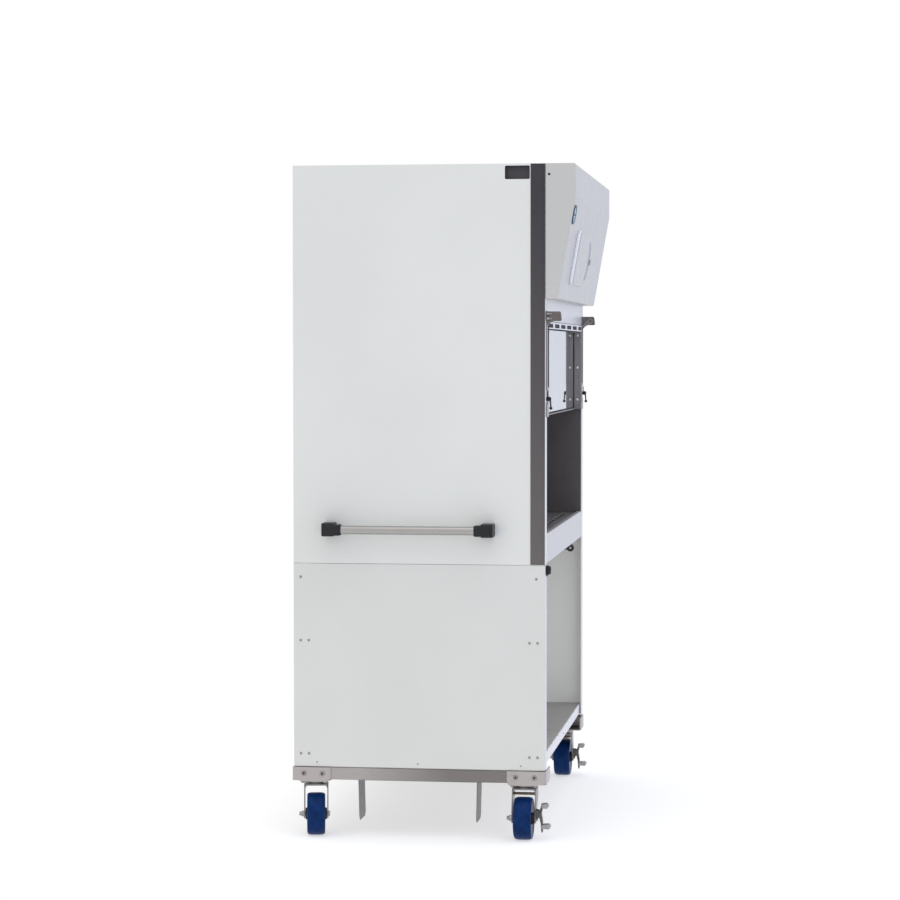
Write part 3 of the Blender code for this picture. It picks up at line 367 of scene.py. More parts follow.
def drive_roughness(tree, shader, source, low, high):
    """Let a texture move the roughness between two values."""
    values = {"From Min": 0.3, "From Max": 0.7, "To Min": low, "To Max": high}
    spread = add_node(tree, "MapRange", values, {"Value": source})
    tree.links.new(spread.outputs[0], shader.inputs["Roughness"])


def drive_colour(tree, shader, source, dark, light, low=0.35, high=0.65):
    """Let a texture move the colour between two values."""
    ramp = colour_ramp(tree, source, (low, dark), (high, light))
    tree.links.new(ramp.outputs[0], shader.inputs["Base Color"])


def add_bump(tree, shader, source, strength, distance):
    """Let a texture raise the surface."""
    bump = add_node(tree, "Bump", {"Strength": strength, "Distance": distance}, {"Height": source})
    tree.links.new(bump.outputs[0], shader.inputs["Normal"])


def shade(colour, factor):
    """A colour made lighter or darker."""
    return tuple(min(1.0, value * factor) for value in colour)


def powder_coat(name, colour, roughness=0.4, relief=0.03, drift=1.0):
    """Sprayed and baked coat: orange peel, faint drift of colour and gloss."""
    made, tree, shader = start_material(name, colour, roughness)
    drive_colour(tree, shader, noise(tree, 2.5), shade(colour, 0.975), shade(colour, 1.015))
    drive_roughness(tree, shader, noise(tree, 30.0), roughness - 0.05 * drift, roughness + 0.06 * drift)
    add_bump(tree, shader, noise(tree, 500.0, 2.0), relief, 0.0002)
    return made


def brushed_metal(name, colour, roughness, stretch=(0.02, 1, 1), metallic=1.0, contrast=0.1, reflection_grade=None):
    """Metal ground in one direction; a reflection grade (axis, span, colour) paints a reflection that drifts
    from that colour to its own.
    """
    made, tree, shader = start_material(name, colour, roughness, metallic)
    streaks = noise(tree, 900.0, 4.0, stretch)
    # Painted reflection: the colour drifts along one axis the way a reflection falls on the metal.
    if reflection_grade:
        axis, span, first = reflection_grade
        place = add_node(tree, "TexCoord").outputs["Object"]
        along = add_node(tree, "SeparateXYZ", links={"Vector": place}).outputs[axis]
        share = add_node(tree, "MapRange", {"From Min": span[0], "From Max": span[1]}, {"Value": along})
        mixed = add_node(tree, "Math", {1: 0.2}, {0: streaks, 2: share}, operation="MULTIPLY_ADD")
        drive_colour(tree, shader, mixed, first, colour, 0.1, 1.1)
    else:
        clouds = noise(tree, 9.0, 2.0)
        mixed = add_node(tree, "Math", {1: 1.4}, {0: clouds, 2: streaks}, operation="MULTIPLY_ADD")
        dark, light = shade(colour, 1 - contrast), shade(colour, 1 + contrast)
        drive_colour(tree, shader, mixed, dark, light, 0.85, 1.55)
    drive_roughness(tree, shader, noise(tree, 360.0, 3.0, stretch), roughness - 0.07, roughness + 0.1)
    add_bump(tree, shader, streaks, 0.12, 0.0002)
    return made


def mottled(name, colour, roughness, shades, tint, gloss, spread, relief, metallic=0.0, **socket_shades):
    """Mottled surface: tint noise between two shades, gloss noise within a spread, and relief.

    Relief holds the settings of its noise, its strength and its depth.
    """
    made, tree, shader = start_material(name, colour, roughness, metallic, **socket_shades)
    drive_colour(tree, shader, noise(tree, *tint), shade(colour, shades[0]), shade(colour, shades[1]))
    if gloss:
        drive_roughness(tree, shader, noise(tree, *gloss), roughness - spread[0], roughness + spread[1])
    add_bump(tree, shader, noise(tree, *relief[0]), *relief[1:])
    return made


def plated_metal(name, colour, roughness):
    """Zinc plate or cast metal: soft mottling and a fine grain."""
    return mottled(name, colour, roughness, (0.88, 1.08), (60.0, 5.0), (140.0,), (0.08, 0.12),
                   ((1500.0,), 0.08, 0.0002), 1.0)


def moulded(name, colour, roughness=0.5, grain=1400.0, relief=0.18):
    """Moulded plastic or rubber with a fine spark-eroded grain."""
    return mottled(name, colour, roughness, (0.85, 1.2), (40.0,), (220.0,), (0.06, 0.08),
                   ((grain, 2.0), relief, 0.0002), Specular_IOR_Level=0.3)


def clear_glass():
    """Float glass with faint wipe marks."""
    made, tree, shader = start_material("sash_glass_clear", (0.93, 0.97, 1.0), 0.02,
                                        Transmission_Weight=1.0, IOR=1.5)
    drive_roughness(tree, shader, noise(tree, 9.0, 6.0, (1, 1, 0.3)), 0.0, 0.035)
    return made


ALONG_Y, UPRIGHT = (1, 0.02, 1), (1, 1, 0.02)
WHITE = powder_coat("white_powder_coat", (0.712, 0.716, 0.68))
STAND_WHITE = powder_coat("stand_powder_coat", (0.665, 0.667, 0.632))
LIP_WHITE = powder_coat("lip_powder_coat", (0.68, 0.675, 0.685), 0.3, 0.006)
HEAD_WHITE = powder_coat("head_powder_coat", (0.52, 0.515, 0.49), 0.3)
# Painted shade: the head's front, the header and the sill are greyer copies of the cabinet's white, darkened
# for how dim the front faces fall in the light.
SHADED_GLOSS_WHITE = powder_coat("front_gloss_coat_painted_shade", (0.405, 0.388, 0.366), 0.26, 0.003, 0.25)
SHADED_FRONT_WHITE = powder_coat("front_coat_painted_shade", (0.61, 0.603, 0.595), 0.3, 0.004, 0.25)
SHADED_SILL_WHITE = powder_coat("sill_coat_painted_shade", (0.5, 0.485, 0.475), 0.3, 0.004, 0.25)
# Painted highlight: the pad's rim is far brighter than its face for the light caught on its flank.
PAD_RIM_HIGHLIGHT = powder_coat("pad_rim_painted_highlight", (0.9, 0.9, 0.92), 0.2, 0.004)
# Painted shade: the pocket's inside is near black for the shade in the recess.
POCKET_SHADE = powder_coat("pocket_painted_shade", (0.055, 0.053, 0.06), 0.5)
GUIDE_GREY = powder_coat("guide_grey_coat", (0.205, 0.205, 0.205), 0.45)
# Painted reflection: the base rails grade darker towards the front and lighter towards the rear.
STAINLESS = brushed_metal("stainless_brushed_along_y", (0.395, 0.369, 0.357), 0.32, ALONG_Y,
                          reflection_grade=("Y", (-0.05, 0.26), (0.207, 0.191, 0.185)))
PLATE_STEEL = brushed_metal("corner_plate_steel", (0.345, 0.322, 0.312), 0.34, ALONG_Y, contrast=0.28)
STAINLESS_Z = brushed_metal("stainless_brushed_upright", (0.24, 0.23, 0.23), 0.32, UPRIGHT)
HINGE_STEEL = brushed_metal("hinge_steel", (0.14, 0.125, 0.12), 0.28, contrast=0.3)
HANDLE_STEEL = brushed_metal("handle_polished_steel", (0.355, 0.345, 0.335), 0.26, ALONG_Y)
CHAMBER_STEEL = brushed_metal("chamber_dark_steel", (0.132, 0.119, 0.113), 0.42, UPRIGHT, 0.7)
TRAY_STEEL = brushed_metal("tray_steel", (0.42, 0.4, 0.385), 0.36, metallic=0.9)
DECK_STEEL = brushed_metal("shelf_deck_steel", (0.38, 0.36, 0.345), 0.42, ALONG_Y, 0.6)
# Painted reflection: the strip's near-black tone and its lightening towards the bottom stand in for dark
# surroundings mirrored in bare steel.
STRIP_DARK_REFLECTION = brushed_metal("strip_painted_dark_reflection", (0.043, 0.039, 0.046), 0.36, UPRIGHT, 0.45,
                      reflection_grade=("Z", (UPPER_LOW, UPPER_HIGH), (0.135, 0.125, 0.122)))
ZINC = plated_metal("zinc_plate", (0.4, 0.39, 0.37), 0.38)
BRIGHT_STEEL = brushed_metal("channel_bright_steel", (0.66, 0.65, 0.67), 0.34, metallic=0.7)
SCREW = plated_metal("screw_steel", (0.36, 0.35, 0.34), 0.34)
BOLT = plated_metal("bolt_steel", (0.3, 0.285, 0.27), 0.3)
BRIGHT = plated_metal("bright_screw_steel", (0.8, 0.78, 0.76), 0.22)
PEDAL = plated_metal("pedal_casting", (0.36, 0.36, 0.355), 0.42)
ROCKER_STEEL = plated_metal("rocker_steel", (0.12, 0.115, 0.11), 0.4)
BRONZE = plated_metal("bronze_bar", (0.2, 0.14, 0.1), 0.42)
BLACK = moulded("black_moulded_plastic", (0.012, 0.012, 0.014), 0.42)
GASKET = moulded("black_gasket", (0.006, 0.006, 0.006), 0.65, 700.0)
GREY = moulded("grey_moulded_plastic", (0.22, 0.23, 0.25), 0.4)
DIAL = moulded("dial_face", (0.66, 0.76, 0.8), 0.35, 400.0, 0.03)
# Painted shade: a dark arc on the right of the pad's face.
PAD_EDGE_SHADE = moulded("pad_edge_painted_shade", (0.24, 0.235, 0.27), 0.35, 400.0, 0.02)
BLUE_RING = moulded("blue_ring", (0.09, 0.17, 0.24), 0.3, 400.0, 0.03)
TREAD = mottled("navy_polyurethane", (0.003, 0.023, 0.1), 0.3, (0.8, 1.25), (45.0, 4.0), (160.0, 5.0),
                (0.08, 0.12), ((320.0, 3.0), 0.1, 0.0004), Specular_IOR_Level=0.08)
GLASS = clear_glass()
PAPER = mottled("filter_paper", (0.8, 0.79, 0.74), 0.9, (0.9, 1.06), (300.0, 6.0), None, None,
                ((900.0, 4.0), 0.35, 0.0004))
LENS = mottled("opal_lens", (0.88, 0.89, 0.87), 0.25, (0.96, 1.03), (15.0,), None, None,
               ((500.0, 1.0, (0.01, 1, 1)), 0.3, 0.0004), Subsurface_Weight=0.2, Subsurface_Scale=0.01)


# ---------------------------------------------------------------- cabinet and stand
def folded_side(side, z):
    """Side panel in plan: front post, skin and rear return, folded from one sheet."""
    bm = bmesh.new()
    path = [(side * (SIDE - POST), FRONT), (side * SIDE, FRONT), (side * SIDE, BACK),
            (side * (SIDE - REAR_RETURN), BACK)]
    fold(bm, path, "Z", z, side=1 if side > 0 else -1)
    return bm


def upper_side(label, side):
    """Cabinet side; the left one has a pressed pocket near its top front corner, its inside painted near
    black as shade.
    """
    node = "upper_side_panel_" + label
    bm = folded_side(side, (UPPER_LOW, UPPER_HIGH))
    if side < 0:
        pocket = frame_pocket()
        hole = bmesh.new()
        prism(hole, rounded_rectangle(*pocket, 0.004), "X", (-SIDE - 0.01, -SIDE + 0.01))
        bm = carve(bm, hole)
        tub = bmesh.new()
        depth, wall = 0.022, 0.0018
        ring = rounded_rectangle(*pocket, 0.004)
        outer = rounded_rectangle(*[(low - wall, high + wall) for low, high in pocket], 0.0055)
        plate(tub, outer, "X", (-SIDE + SHEET, -SIDE + depth), [ring])
        plate(tub, outer, "X", (-SIDE + depth - wall, -SIDE + depth))
        # The tub is painted near black as shade in the recess.
        piece("pocket_tub", tub, POCKET_SHADE)
    piece("cabinet_side_" + label, bm, WHITE, node)


def frame_pocket():
    """Limits of the pocket in y and z, measured back from the front plane."""
    return (FRONT + 0.046, FRONT + 0.12), (1.959, 1.999)


def lower_side(label, side):
    """Stand side with hems along its top and bottom, and its screws."""
    bm = folded_side(side, (LOWER_LOW, LOWER_HIGH))
    hem = 0.012
    for level, lift in ((LOWER_LOW, 1), (LOWER_HIGH, -1)):
        slab(bm, (side * (SIDE - 0.0021), side * (SIDE - hem)), (FRONT + 0.06, BACK - 0.04),
             (level + lift * 0.0002, level + lift * 0.0018), 0.0004)
    piece("stand_side_" + label, bm, STAND_WHITE, "lower_side_panel_" + label)
    heads = bmesh.new()
    inset, pitch = 0.022, 0.0243
    depth = BACK - FRONT
    places = [(y, z) for y in (inset, inset + pitch, depth - inset - pitch, depth - inset)
              for z in (0.2475, 0.588)] + [(inset + 0.004, 0.778), (depth - inset, 0.778)]
    for y, z in places:
        screw_head(heads, (side * SIDE, FRONT + y, z), (side, 0, 0), 0.0042, 0.0015)
    for y in (0.072, 0.381, 0.686):
        screw_head(heads, (side * SIDE, FRONT + y, 0.222), (side, 0, 0), 0.0026, 0.001)
    piece("stand_side_screws_" + label, heads, SCREW)


def back_panels():
    """Two flat backs between the sides, with screws, and the inlet's cut-out in the upper one."""
    for name, holes in (("lower_back_panel", ()), ("upper_back_panel", (inlet_cutout(),))):
        low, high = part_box(name)
        outer, margin = high.y - 0.0015, 0.045
        bm = bmesh.new()
        plate(bm, rounded_rectangle((low.x, high.x), (low.z, high.z), 0.004), "Y", (low.y, outer), holes)
        piece(name + "_sheet", bm, WHITE, name)
        places = [(x, outer, z) for x in BACK_SCREWS for z in (low.z + margin, high.z - margin)]
        screws(name + "_screws", places, (0, 1, 0), 0.0042, 0.0015)


def inlet_cutout():
    """Outline of the hole that the mains inlet sits in."""
    low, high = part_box("power_inlet")
    margin = 0.0095
    return rounded_rectangle((low.x + margin, high.x - margin), (low.z + 0.004, high.z - 0.004), 0.001)


def top_panel():
    """Roof sheet with a round-cornered exhaust opening and its turned-down edge."""
    low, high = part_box("top_panel")
    opening = ((-0.29, 0.29), (0.065, 0.345))
    bm = bmesh.new()
    notch = SIDE - POST - GAP
    outline = [(-notch, low.y), (notch, low.y), (notch, low.y + 0.0024), (high.x, low.y + 0.0024),
               (high.x, high.y), (low.x, high.y), (low.x, low.y + 0.0024), (-notch, low.y + 0.0024)]
    hole = rounded_rectangle(*opening, 0.012)
    plate(bm, outline, "Z", (high.z - SHEET, high.z), [hole])
    for edge_x in (low.x, high.x):
        inward = -math.copysign(SHEET, edge_x)
        slab(bm, (edge_x, edge_x + inward), (FRONT + 0.16, high.y), (low.z, high.z - 0.0005), 0.0005)
    rim = rounded_rectangle(*[(a - 0.0018, b + 0.0018) for a, b in opening], 0.0138)
    plate(bm, rim, "Z", (high.z - 0.008, high.z - 0.0003), [hole], 0.0003)
    piece("roof_sheet", bm, WHITE, "top_panel")
    places = [(x, y, high.z - 0.0006) for x in (-0.36, 0.36) for y in (0.065, 0.205, 0.345)]
    screws("roof_screws", places, UP, 0.004, 0.0008)


def trim_strip(label, side):
    """Metal strip with rounded long edges and a shallow groove; its near-black tone is painted reflection."""
    node = "trim_strip_" + label
    low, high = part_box(node)
    base, proud = (high.x, low.x) if side < 0 else (low.x, high.x)
    groove = low.y + 0.006
    lift = (proud - base) * 0.7 + base
    outline = [(base, low.y), (proud - side * 0.0004, low.y), (proud, low.y + 0.0004),
               (proud, groove), (lift, groove + 0.0004), (lift, groove + 0.0014),
               (proud, groove + 0.0018), (proud, high.y - 0.0004), (proud - side * 0.0004, high.y),
               (base, high.y)]
    bm = bmesh.new()
    prism(bm, outline, "Z", (low.z, high.z))
    piece("edge_strip_" + label, bm, STRIP_DARK_REFLECTION, node)


def front_sheets():
    """Header over the sash and sill under the opening, both folded along X."""
    low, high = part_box("header_panel")
    bm = bmesh.new()
    fold(bm, [(low.y, high.z), (low.y, low.z), (high.y, low.z)], "X", (low.x, high.x), radius=0.003)
    # Header in a greyer copy of the white: painted shade.
    piece("header_sheet", bm, SHADED_FRONT_WHITE, "header_panel")
    low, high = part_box("front_sill")
    bm = bmesh.new()
    fold(bm, [(low.y + 0.01, low.z), (low.y, low.z), (low.y, high.z), (high.y, high.z)],
         "X", (low.x, high.x), side=-1, radius=0.004)
    # Sill in a greyer copy of the white: painted shade.
    piece("sill_sheet", bm, SHADED_SILL_WHITE, "front_sill")


def storage_shelf():
    """Brushed deck of the open bay, its white front lip and the lip's three screws."""
    low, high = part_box("lower_shelf")
    front = FRONT + 0.006
    deck = bmesh.new()
    slab(deck, (low.x, high.x), (front + 0.0037, high.y), (high.z - SHEET, high.z - 0.0001), 0.0005)
    slab_pair(deck, high.x, high.x - SHEET, (FRONT + 0.012, high.y), (low.z, high.z - 0.0015), 0.0004)
    piece("shelf_deck", deck, DECK_STEEL, "lower_shelf")
    lip = bmesh.new()
    lip_end = SIDE - POST - GAP
    fold(lip, [(front, 0.217), (front, high.z), (front + 0.004, high.z)], "X",
         (-lip_end, lip_end), 0.0012, 0.002, -1)
    piece("shelf_lip", lip, LIP_WHITE)
    screws("shelf_lip_screws", [(x, front, 0.232) for x in (-0.54, 0.0, 0.565)], OUT, 0.0035, 0.0012)


# ---------------------------------------------------------------- head
def head_profile():
    """Side view of the head in (y, z), read from its box: top back, top front, bend, bottom."""
    low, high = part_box("head_housing")
    foot = FRONT - 0.037
    return low, high, [(high.y, high.z), (low.y, high.z), (low.y, 1.908), (foot, low.z), (high.y, low.z)]


def on_slope(x, z):
    """Point on the head's sloping front."""
    _, _, profile = head_profile()
    (top_y, top_z), (foot_y, foot_z) = profile[2], profile[3]
    share = (top_z - z) / (top_z - foot_z)
    return Vector((x, top_y + share * (foot_y - top_y), z))


def slope_normal():
    """Outward normal of the head's sloping front."""
    _, _, profile = head_profile()
    (top_y, top_z), (foot_y, foot_z) = profile[2], profile[3]
    return Vector((0, -(top_z - foot_z), -(foot_y - top_y))).normalized()


def head():
    """Wrap sheet with soft bends between two cheeks, and a screw on each cheek."""
    low, high, profile = head_profile()
    wrap = bmesh.new()
    fold(wrap, profile, "X", (low.x + 0.003, high.x - 0.003), SHEET, 0.007, 1)
    # Head front in a greyer copy of the white: painted shade.
    piece("head_wrap", wrap, SHADED_GLOSS_WHITE, "head_housing")
    soft = [tuple(p) for p in rounded_path(profile, 0.007)]
    for label, side in SIDES:
        cheek = bmesh.new()
        plate(cheek, soft, "X", (side * (SIDE - 0.0029), side * SIDE), (), 0.0008)
        piece("head_cheek_" + label, cheek, HEAD_WHITE)
        screws("head_screw_" + label, [(side * SIDE, FRONT - 0.011, 1.973)], (side, 0, 0), 0.0038, 0.001,
               BLACK)


def slope_matrix(x, z):
    """Place whose local -Y points out of the slope and whose local Z runs up it."""
    normal = slope_normal()
    across = Vector((1, 0, 0))
    up = across.cross(-normal)
    turn = Matrix((across, -normal, up)).transposed().to_4x4()
    return Matrix.Translation(on_slope(x, z)) @ turn


def pad_outline():
    """Control pad in local (x, z): straight on the left, half an ellipse on the right."""
    left, corner, half_height = -0.28, 0.03, 0.083
    points = arc((0.02, 0), 0.23, -90, 90, 36, half_height)
    points += arc((left + corner, half_height - corner), corner, 90, 180, 8)
    points += arc((left + corner, corner - half_height), corner, 180, 270, 8)
    return points


def pad_rings(bm, rings, centre_fill=True):
    """Loft the pad's outline through (scale, lift) pairs into one closed shape."""
    loops = [[bm.verts.new((x * scale, -lift, z * scale)) for x, z in pad_outline()]
             for scale, lift in rings]
    count = len(loops[0])
    pairs = list(zip(loops, loops[1:]))
    if centre_fill:
        bm.faces.new(loops[0])
        bm.faces.new(loops[-1])
    else:
        pairs.append((loops[-1], loops[0]))
    for lower, upper in pairs:
        for k in range(count):
            after = (k + 1) % count
            bm.faces.new((lower[k], lower[after], upper[after], upper[k]))
    bmesh.ops.recalc_face_normals(bm, faces=bm.faces)


def control_pad():
    """Raised pad: rim with a soft shoulder painted bright as a highlight, face with a well for the button,
    dark arc line of painted shade.
    """
    place = slope_matrix(*PAD_PLACE)
    shoulder = [(1 - 0.04 * (1 - math.cos(math.radians(a))), 0.003 + 0.0085 * math.sin(math.radians(a)))
                for a in range(0, 91, 15)]
    rim = bmesh.new()
    pad_rings(rim, [(1.0, 0.0003)] + shoulder[:4] + [(0.9881, 0.0003)], False)
    # Rim painted bright: a painted highlight on the pad's flank.
    piece("control_pad_rim", rim, PAD_RIM_HIGHLIGHT, "control_panel", place=place)
    face = bmesh.new()
    pad_rings(face, [(0.9879, 0.0004), (0.9879, 0.009)] + shoulder[4:] + [(0.944, 0.0118)])
    well = bmesh.new()
    turned(well, [(0.0098, 0.0), (0.0098, 0.03)], (0.15, 0.002, 0), OUT, 40)
    piece("control_pad_face", carve(face, well), SHADED_GLOSS_WHITE, place=place)
    # Dark crescent on the pad's face: painted shade along its right side.
    line = bmesh.new()
    crescent = arc((0.02, 0), 0.12, -64, 64, 32, 0.07) + arc((0.02, 0), 0.07, 64, -64, 32, 0.064)
    plate(line, crescent, "Y", (-0.0117, -0.012), (), 0.00005)
    piece("control_pad_shade_line", line, PAD_EDGE_SHADE, place=place)


def push_button():
    """Push button with a dished face."""
    centre = on_slope(PAD_PLACE[0] + 0.15, PAD_PLACE[1])
    bm = bmesh.new()
    turned(bm, [(0.009, 0.009), (0.009, 0.0146), (0.0084, 0.0155), (0.007, 0.0156), (0.0045, 0.015),
                (0.001, 0.0147)], centre, slope_normal(), 40)
    piece("button_cap", bm, SHADED_GLOSS_WHITE, "power_button", body="power_switch_button")


def gauge():
    """Round gauge: blue ring, pale dial with ticks, needle."""
    centre, axis = on_slope(*GAUGE_PLACE), slope_normal()
    ring = bmesh.new()
    turned(ring, [(0.0268, 0.0004), (0.029, 0.0004), (0.029, 0.0034), (0.0285, 0.0044), (0.0276, 0.0044),
                  (0.027, 0.0034)], centre, axis, 64, ring=True)
    piece("gauge_ring", ring, BLUE_RING, "pressure_gauge")
    dial = bmesh.new()
    turned(dial, [(0.0267, 0.0004), (0.0267, 0.0024), (0.001, 0.0025)], centre, axis, 64)
    piece("gauge_dial", dial, DIAL)
    marks = bmesh.new()
    for degrees in range(-120, 121, 24):
        tick = bmesh.new()
        slab(tick, (-0.0005, 0.0005), (-0.0029, -0.0022), (0.0185, 0.0225), 0.0001, 1)
        absorb(marks, tick, Matrix.Rotation(math.radians(degrees), 4, "Y"))
    needle = bmesh.new()
    prism(needle, [(-0.0009, -0.006), (0.0009, -0.006), (0.0003, 0.0175), (-0.0003, 0.0175)], "Y",
          (-0.0036, -0.0031))
    absorb(marks, needle, Matrix.Rotation(math.radians(-48), 4, "Y"))
    turned(marks, [(0.003, 0.0024), (0.003, 0.0038), (0.002, 0.0042)], (0, 0, 0), OUT, 24)
    piece("gauge_needle_and_ticks", marks, BLACK, place=slope_matrix(*GAUGE_PLACE))


# ---------------------------------------------------------------- work chamber
def chamber():
    """Ground-steel tub: two walls, slotted back, drain pan and low front wall."""
    low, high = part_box("chamber_liner")
    bm = bmesh.new()
    inner = high.x - SHEET
    slab_pair(bm, high.x, inner, (low.y, high.y), (low.z, high.z), 0.0005)
    slots = slot_row(8, 0.135, 0.936, 0.1, 0.012)
    plate(bm, [(-inner, low.z), (inner, low.z), (inner, high.z), (-inner, high.z)], "Y",
          (high.y - SHEET, high.y), slots)
    fold(bm, [(low.y + 0.01, 0.897), (low.y + 0.01, low.z), (high.y - SHEET, low.z)], "X",
         (-inner, inner), radius=0.004)
    for side in (-1, 1):
        cove = [(inner, high.y - SHEET)] + arc((inner - 0.01, high.y - SHEET - 0.01), 0.01, 90, 0, 6)
        prism(bm, [(side * x, y) for x, y in cove], "Z", (0.906, high.z - 0.001))
    piece("chamber_tub", bm, CHAMBER_STEEL, "chamber_liner")


def tray():
    """Work surface on two skirts, with a slotted grille along its front."""
    low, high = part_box("work_tray")
    bm = bmesh.new()
    plate(bm, rounded_rectangle((low.x, high.x), (low.y, high.y), 0.003), "Z", (high.z - SHEET, high.z),
          slot_row(12, 0.092, low.y + 0.036, 0.07, 0.012))
    slab_pair(bm, high.x, high.x - SHEET, (low.y + 0.01, high.y - 0.002), (low.z, high.z - 0.001), 0.0005)
    piece("work_surface", bm, TRAY_STEEL, "work_tray")


def pleated_filter(node, name, depth, pitch):
    """Filter: painted frame, pleated paper and the beads that space the pleats."""
    low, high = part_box(node)
    edge = 0.02
    outer = rounded_rectangle((low.x, high.x), (low.y, high.y), 0.003)
    inner = rounded_rectangle((low.x + edge, high.x - edge), (low.y + edge, high.y - edge), 0.002)
    bm = bmesh.new()
    plate(bm, outer, "Z", (low.z, high.z), [inner], 0.0008)
    piece(name + "_frame", bm, ZINC, node)
    span_low, span_high = low.x + edge, high.x - edge
    count = int((span_high - span_low) / pitch)
    step = (span_high - span_low) / count
    crest, valley, thick = high.z - 0.007, high.z - 0.007 - depth, 0.0008
    ridge = []
    for k in range(2 * count + 1):
        ridge.append((span_low + k * step / 2, crest if k % 2 else valley))
    under = [(x, z - thick * 3) for x, z in reversed(ridge)]
    paper = bmesh.new()
    prism(paper, ridge + under, "Y", (low.y + edge, high.y - edge))
    piece(name + "_paper", paper, PAPER)
    beads = bmesh.new()
    rows = 4
    for k in range(1, rows + 1):
        y = low.y + (high.y - low.y) * k / (rows + 1)
        slab(beads, (span_low, span_high), (y - 0.0015, y + 0.0015), (crest - 0.004, crest + 0.001), 0.0005)
    piece(name + "_beads", beads, DIAL)


def lamp():
    """Lamp bar: opal lens between two end caps."""
    low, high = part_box("work_lamp")
    lens = [(low.y + 0.001, low.z + 0.001), (low.y + 0.001, 1.584), (low.y + 0.015, high.z - 0.002),
            (high.y - 0.001, 1.575), (high.y - 0.001, 1.553), (high.y - 0.01, low.z + 0.001)]
    bm = bmesh.new()
    prism(bm, [tuple(p) for p in rounded_path(lens, 0.004)], "X", (low.x + 0.015, high.x - 0.015), 0.0005)
    piece("lamp_lens", bm, LENS, "work_lamp")
    caps = bmesh.new()
    shell = [(low.y, low.z), (low.y, 1.585), (low.y + 0.015, high.z), (high.y, 1.575),
             (high.y, 1.553), (high.y - 0.011, low.z)]
    for side in (-1, 1):
        prism(caps, [tuple(p) for p in rounded_path(shell, 0.004)], "X",
              (side * high.x, side * (high.x - 0.016)), 0.0008)
    piece("lamp_end_caps", caps, GREY)


def blower():
    """Motor with cooling fins on its bridge, and the impeller with curved blades."""
    low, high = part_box("blower_mount")
    centre_y = (low.y + high.y) / 2
    top = 1.703
    bm = bmesh.new()
    path = [(low.x, low.z), (low.x, top), (high.x, top), (high.x, low.z)]
    fold(bm, path, "Y", (low.y, high.y), 0.003, 0.006, -1)
    piece("blower_bridge", bm, ZINC, "blower_mount")
    motor = bmesh.new()
    fins = [(0.02, 0.0)]
    for k in range(9):
        level = 0.003 + k * 0.0042
        fins += [(0.041, level), (0.045, level + 0.0006), (0.045, level + 0.002), (0.041, level + 0.0026)]
    fins += [(0.04, 0.0415), (0.012, 0.043)]
    turned(motor, fins, (0, centre_y, top - 0.0005), UP, 48)
    rod(motor, (0, centre_y, top + 0.04), (0, centre_y, high.z), 0.0059)
    piece("blower_motor", motor, GREY)
    low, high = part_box("blower_wheel")
    radius = high.x
    wheel = bmesh.new()
    turned(wheel, [(0.0064, 0), (radius, 0), (radius, 0.002), (0.03, 0.003), (0.024, 0.006), (0.022, 0.025),
                   (0.0064, 0.025)], (0, centre_y, low.z), UP, 64, ring=True)
    height = high.z - low.z
    turned(wheel, [(0.09, height - 0.003), (0.105, height - 0.0065), (radius, height - 0.01),
                   (radius, height - 0.0075), (0.105, height - 0.004), (0.09, height)],
           (0, centre_y, low.z), UP, 64, ring=True)
    blades, inner, outer, lean = 7, 0.078, 0.134, math.radians(58)
    for k in range(blades):
        start = 2 * math.pi * k / blades
        line = []
        for step in range(9):
            share = step / 8
            distance = inner + (outer - inner) * share
            turn = start + lean * share * 0.62
            line.append(Vector((distance * math.cos(turn), centre_y + distance * math.sin(turn))))
        prism(wheel, thicken(line, 0.0018), "Z", (low.z + 0.001, high.z - 0.006))
    piece("impeller_wheel", wheel, ZINC, "blower_wheel", body="impeller")


# ---------------------------------------------------------------- sash and its fittings
HINGE_Y, HINGE_Z = JOINTS["sash_lift"]["pos_m"][1:]


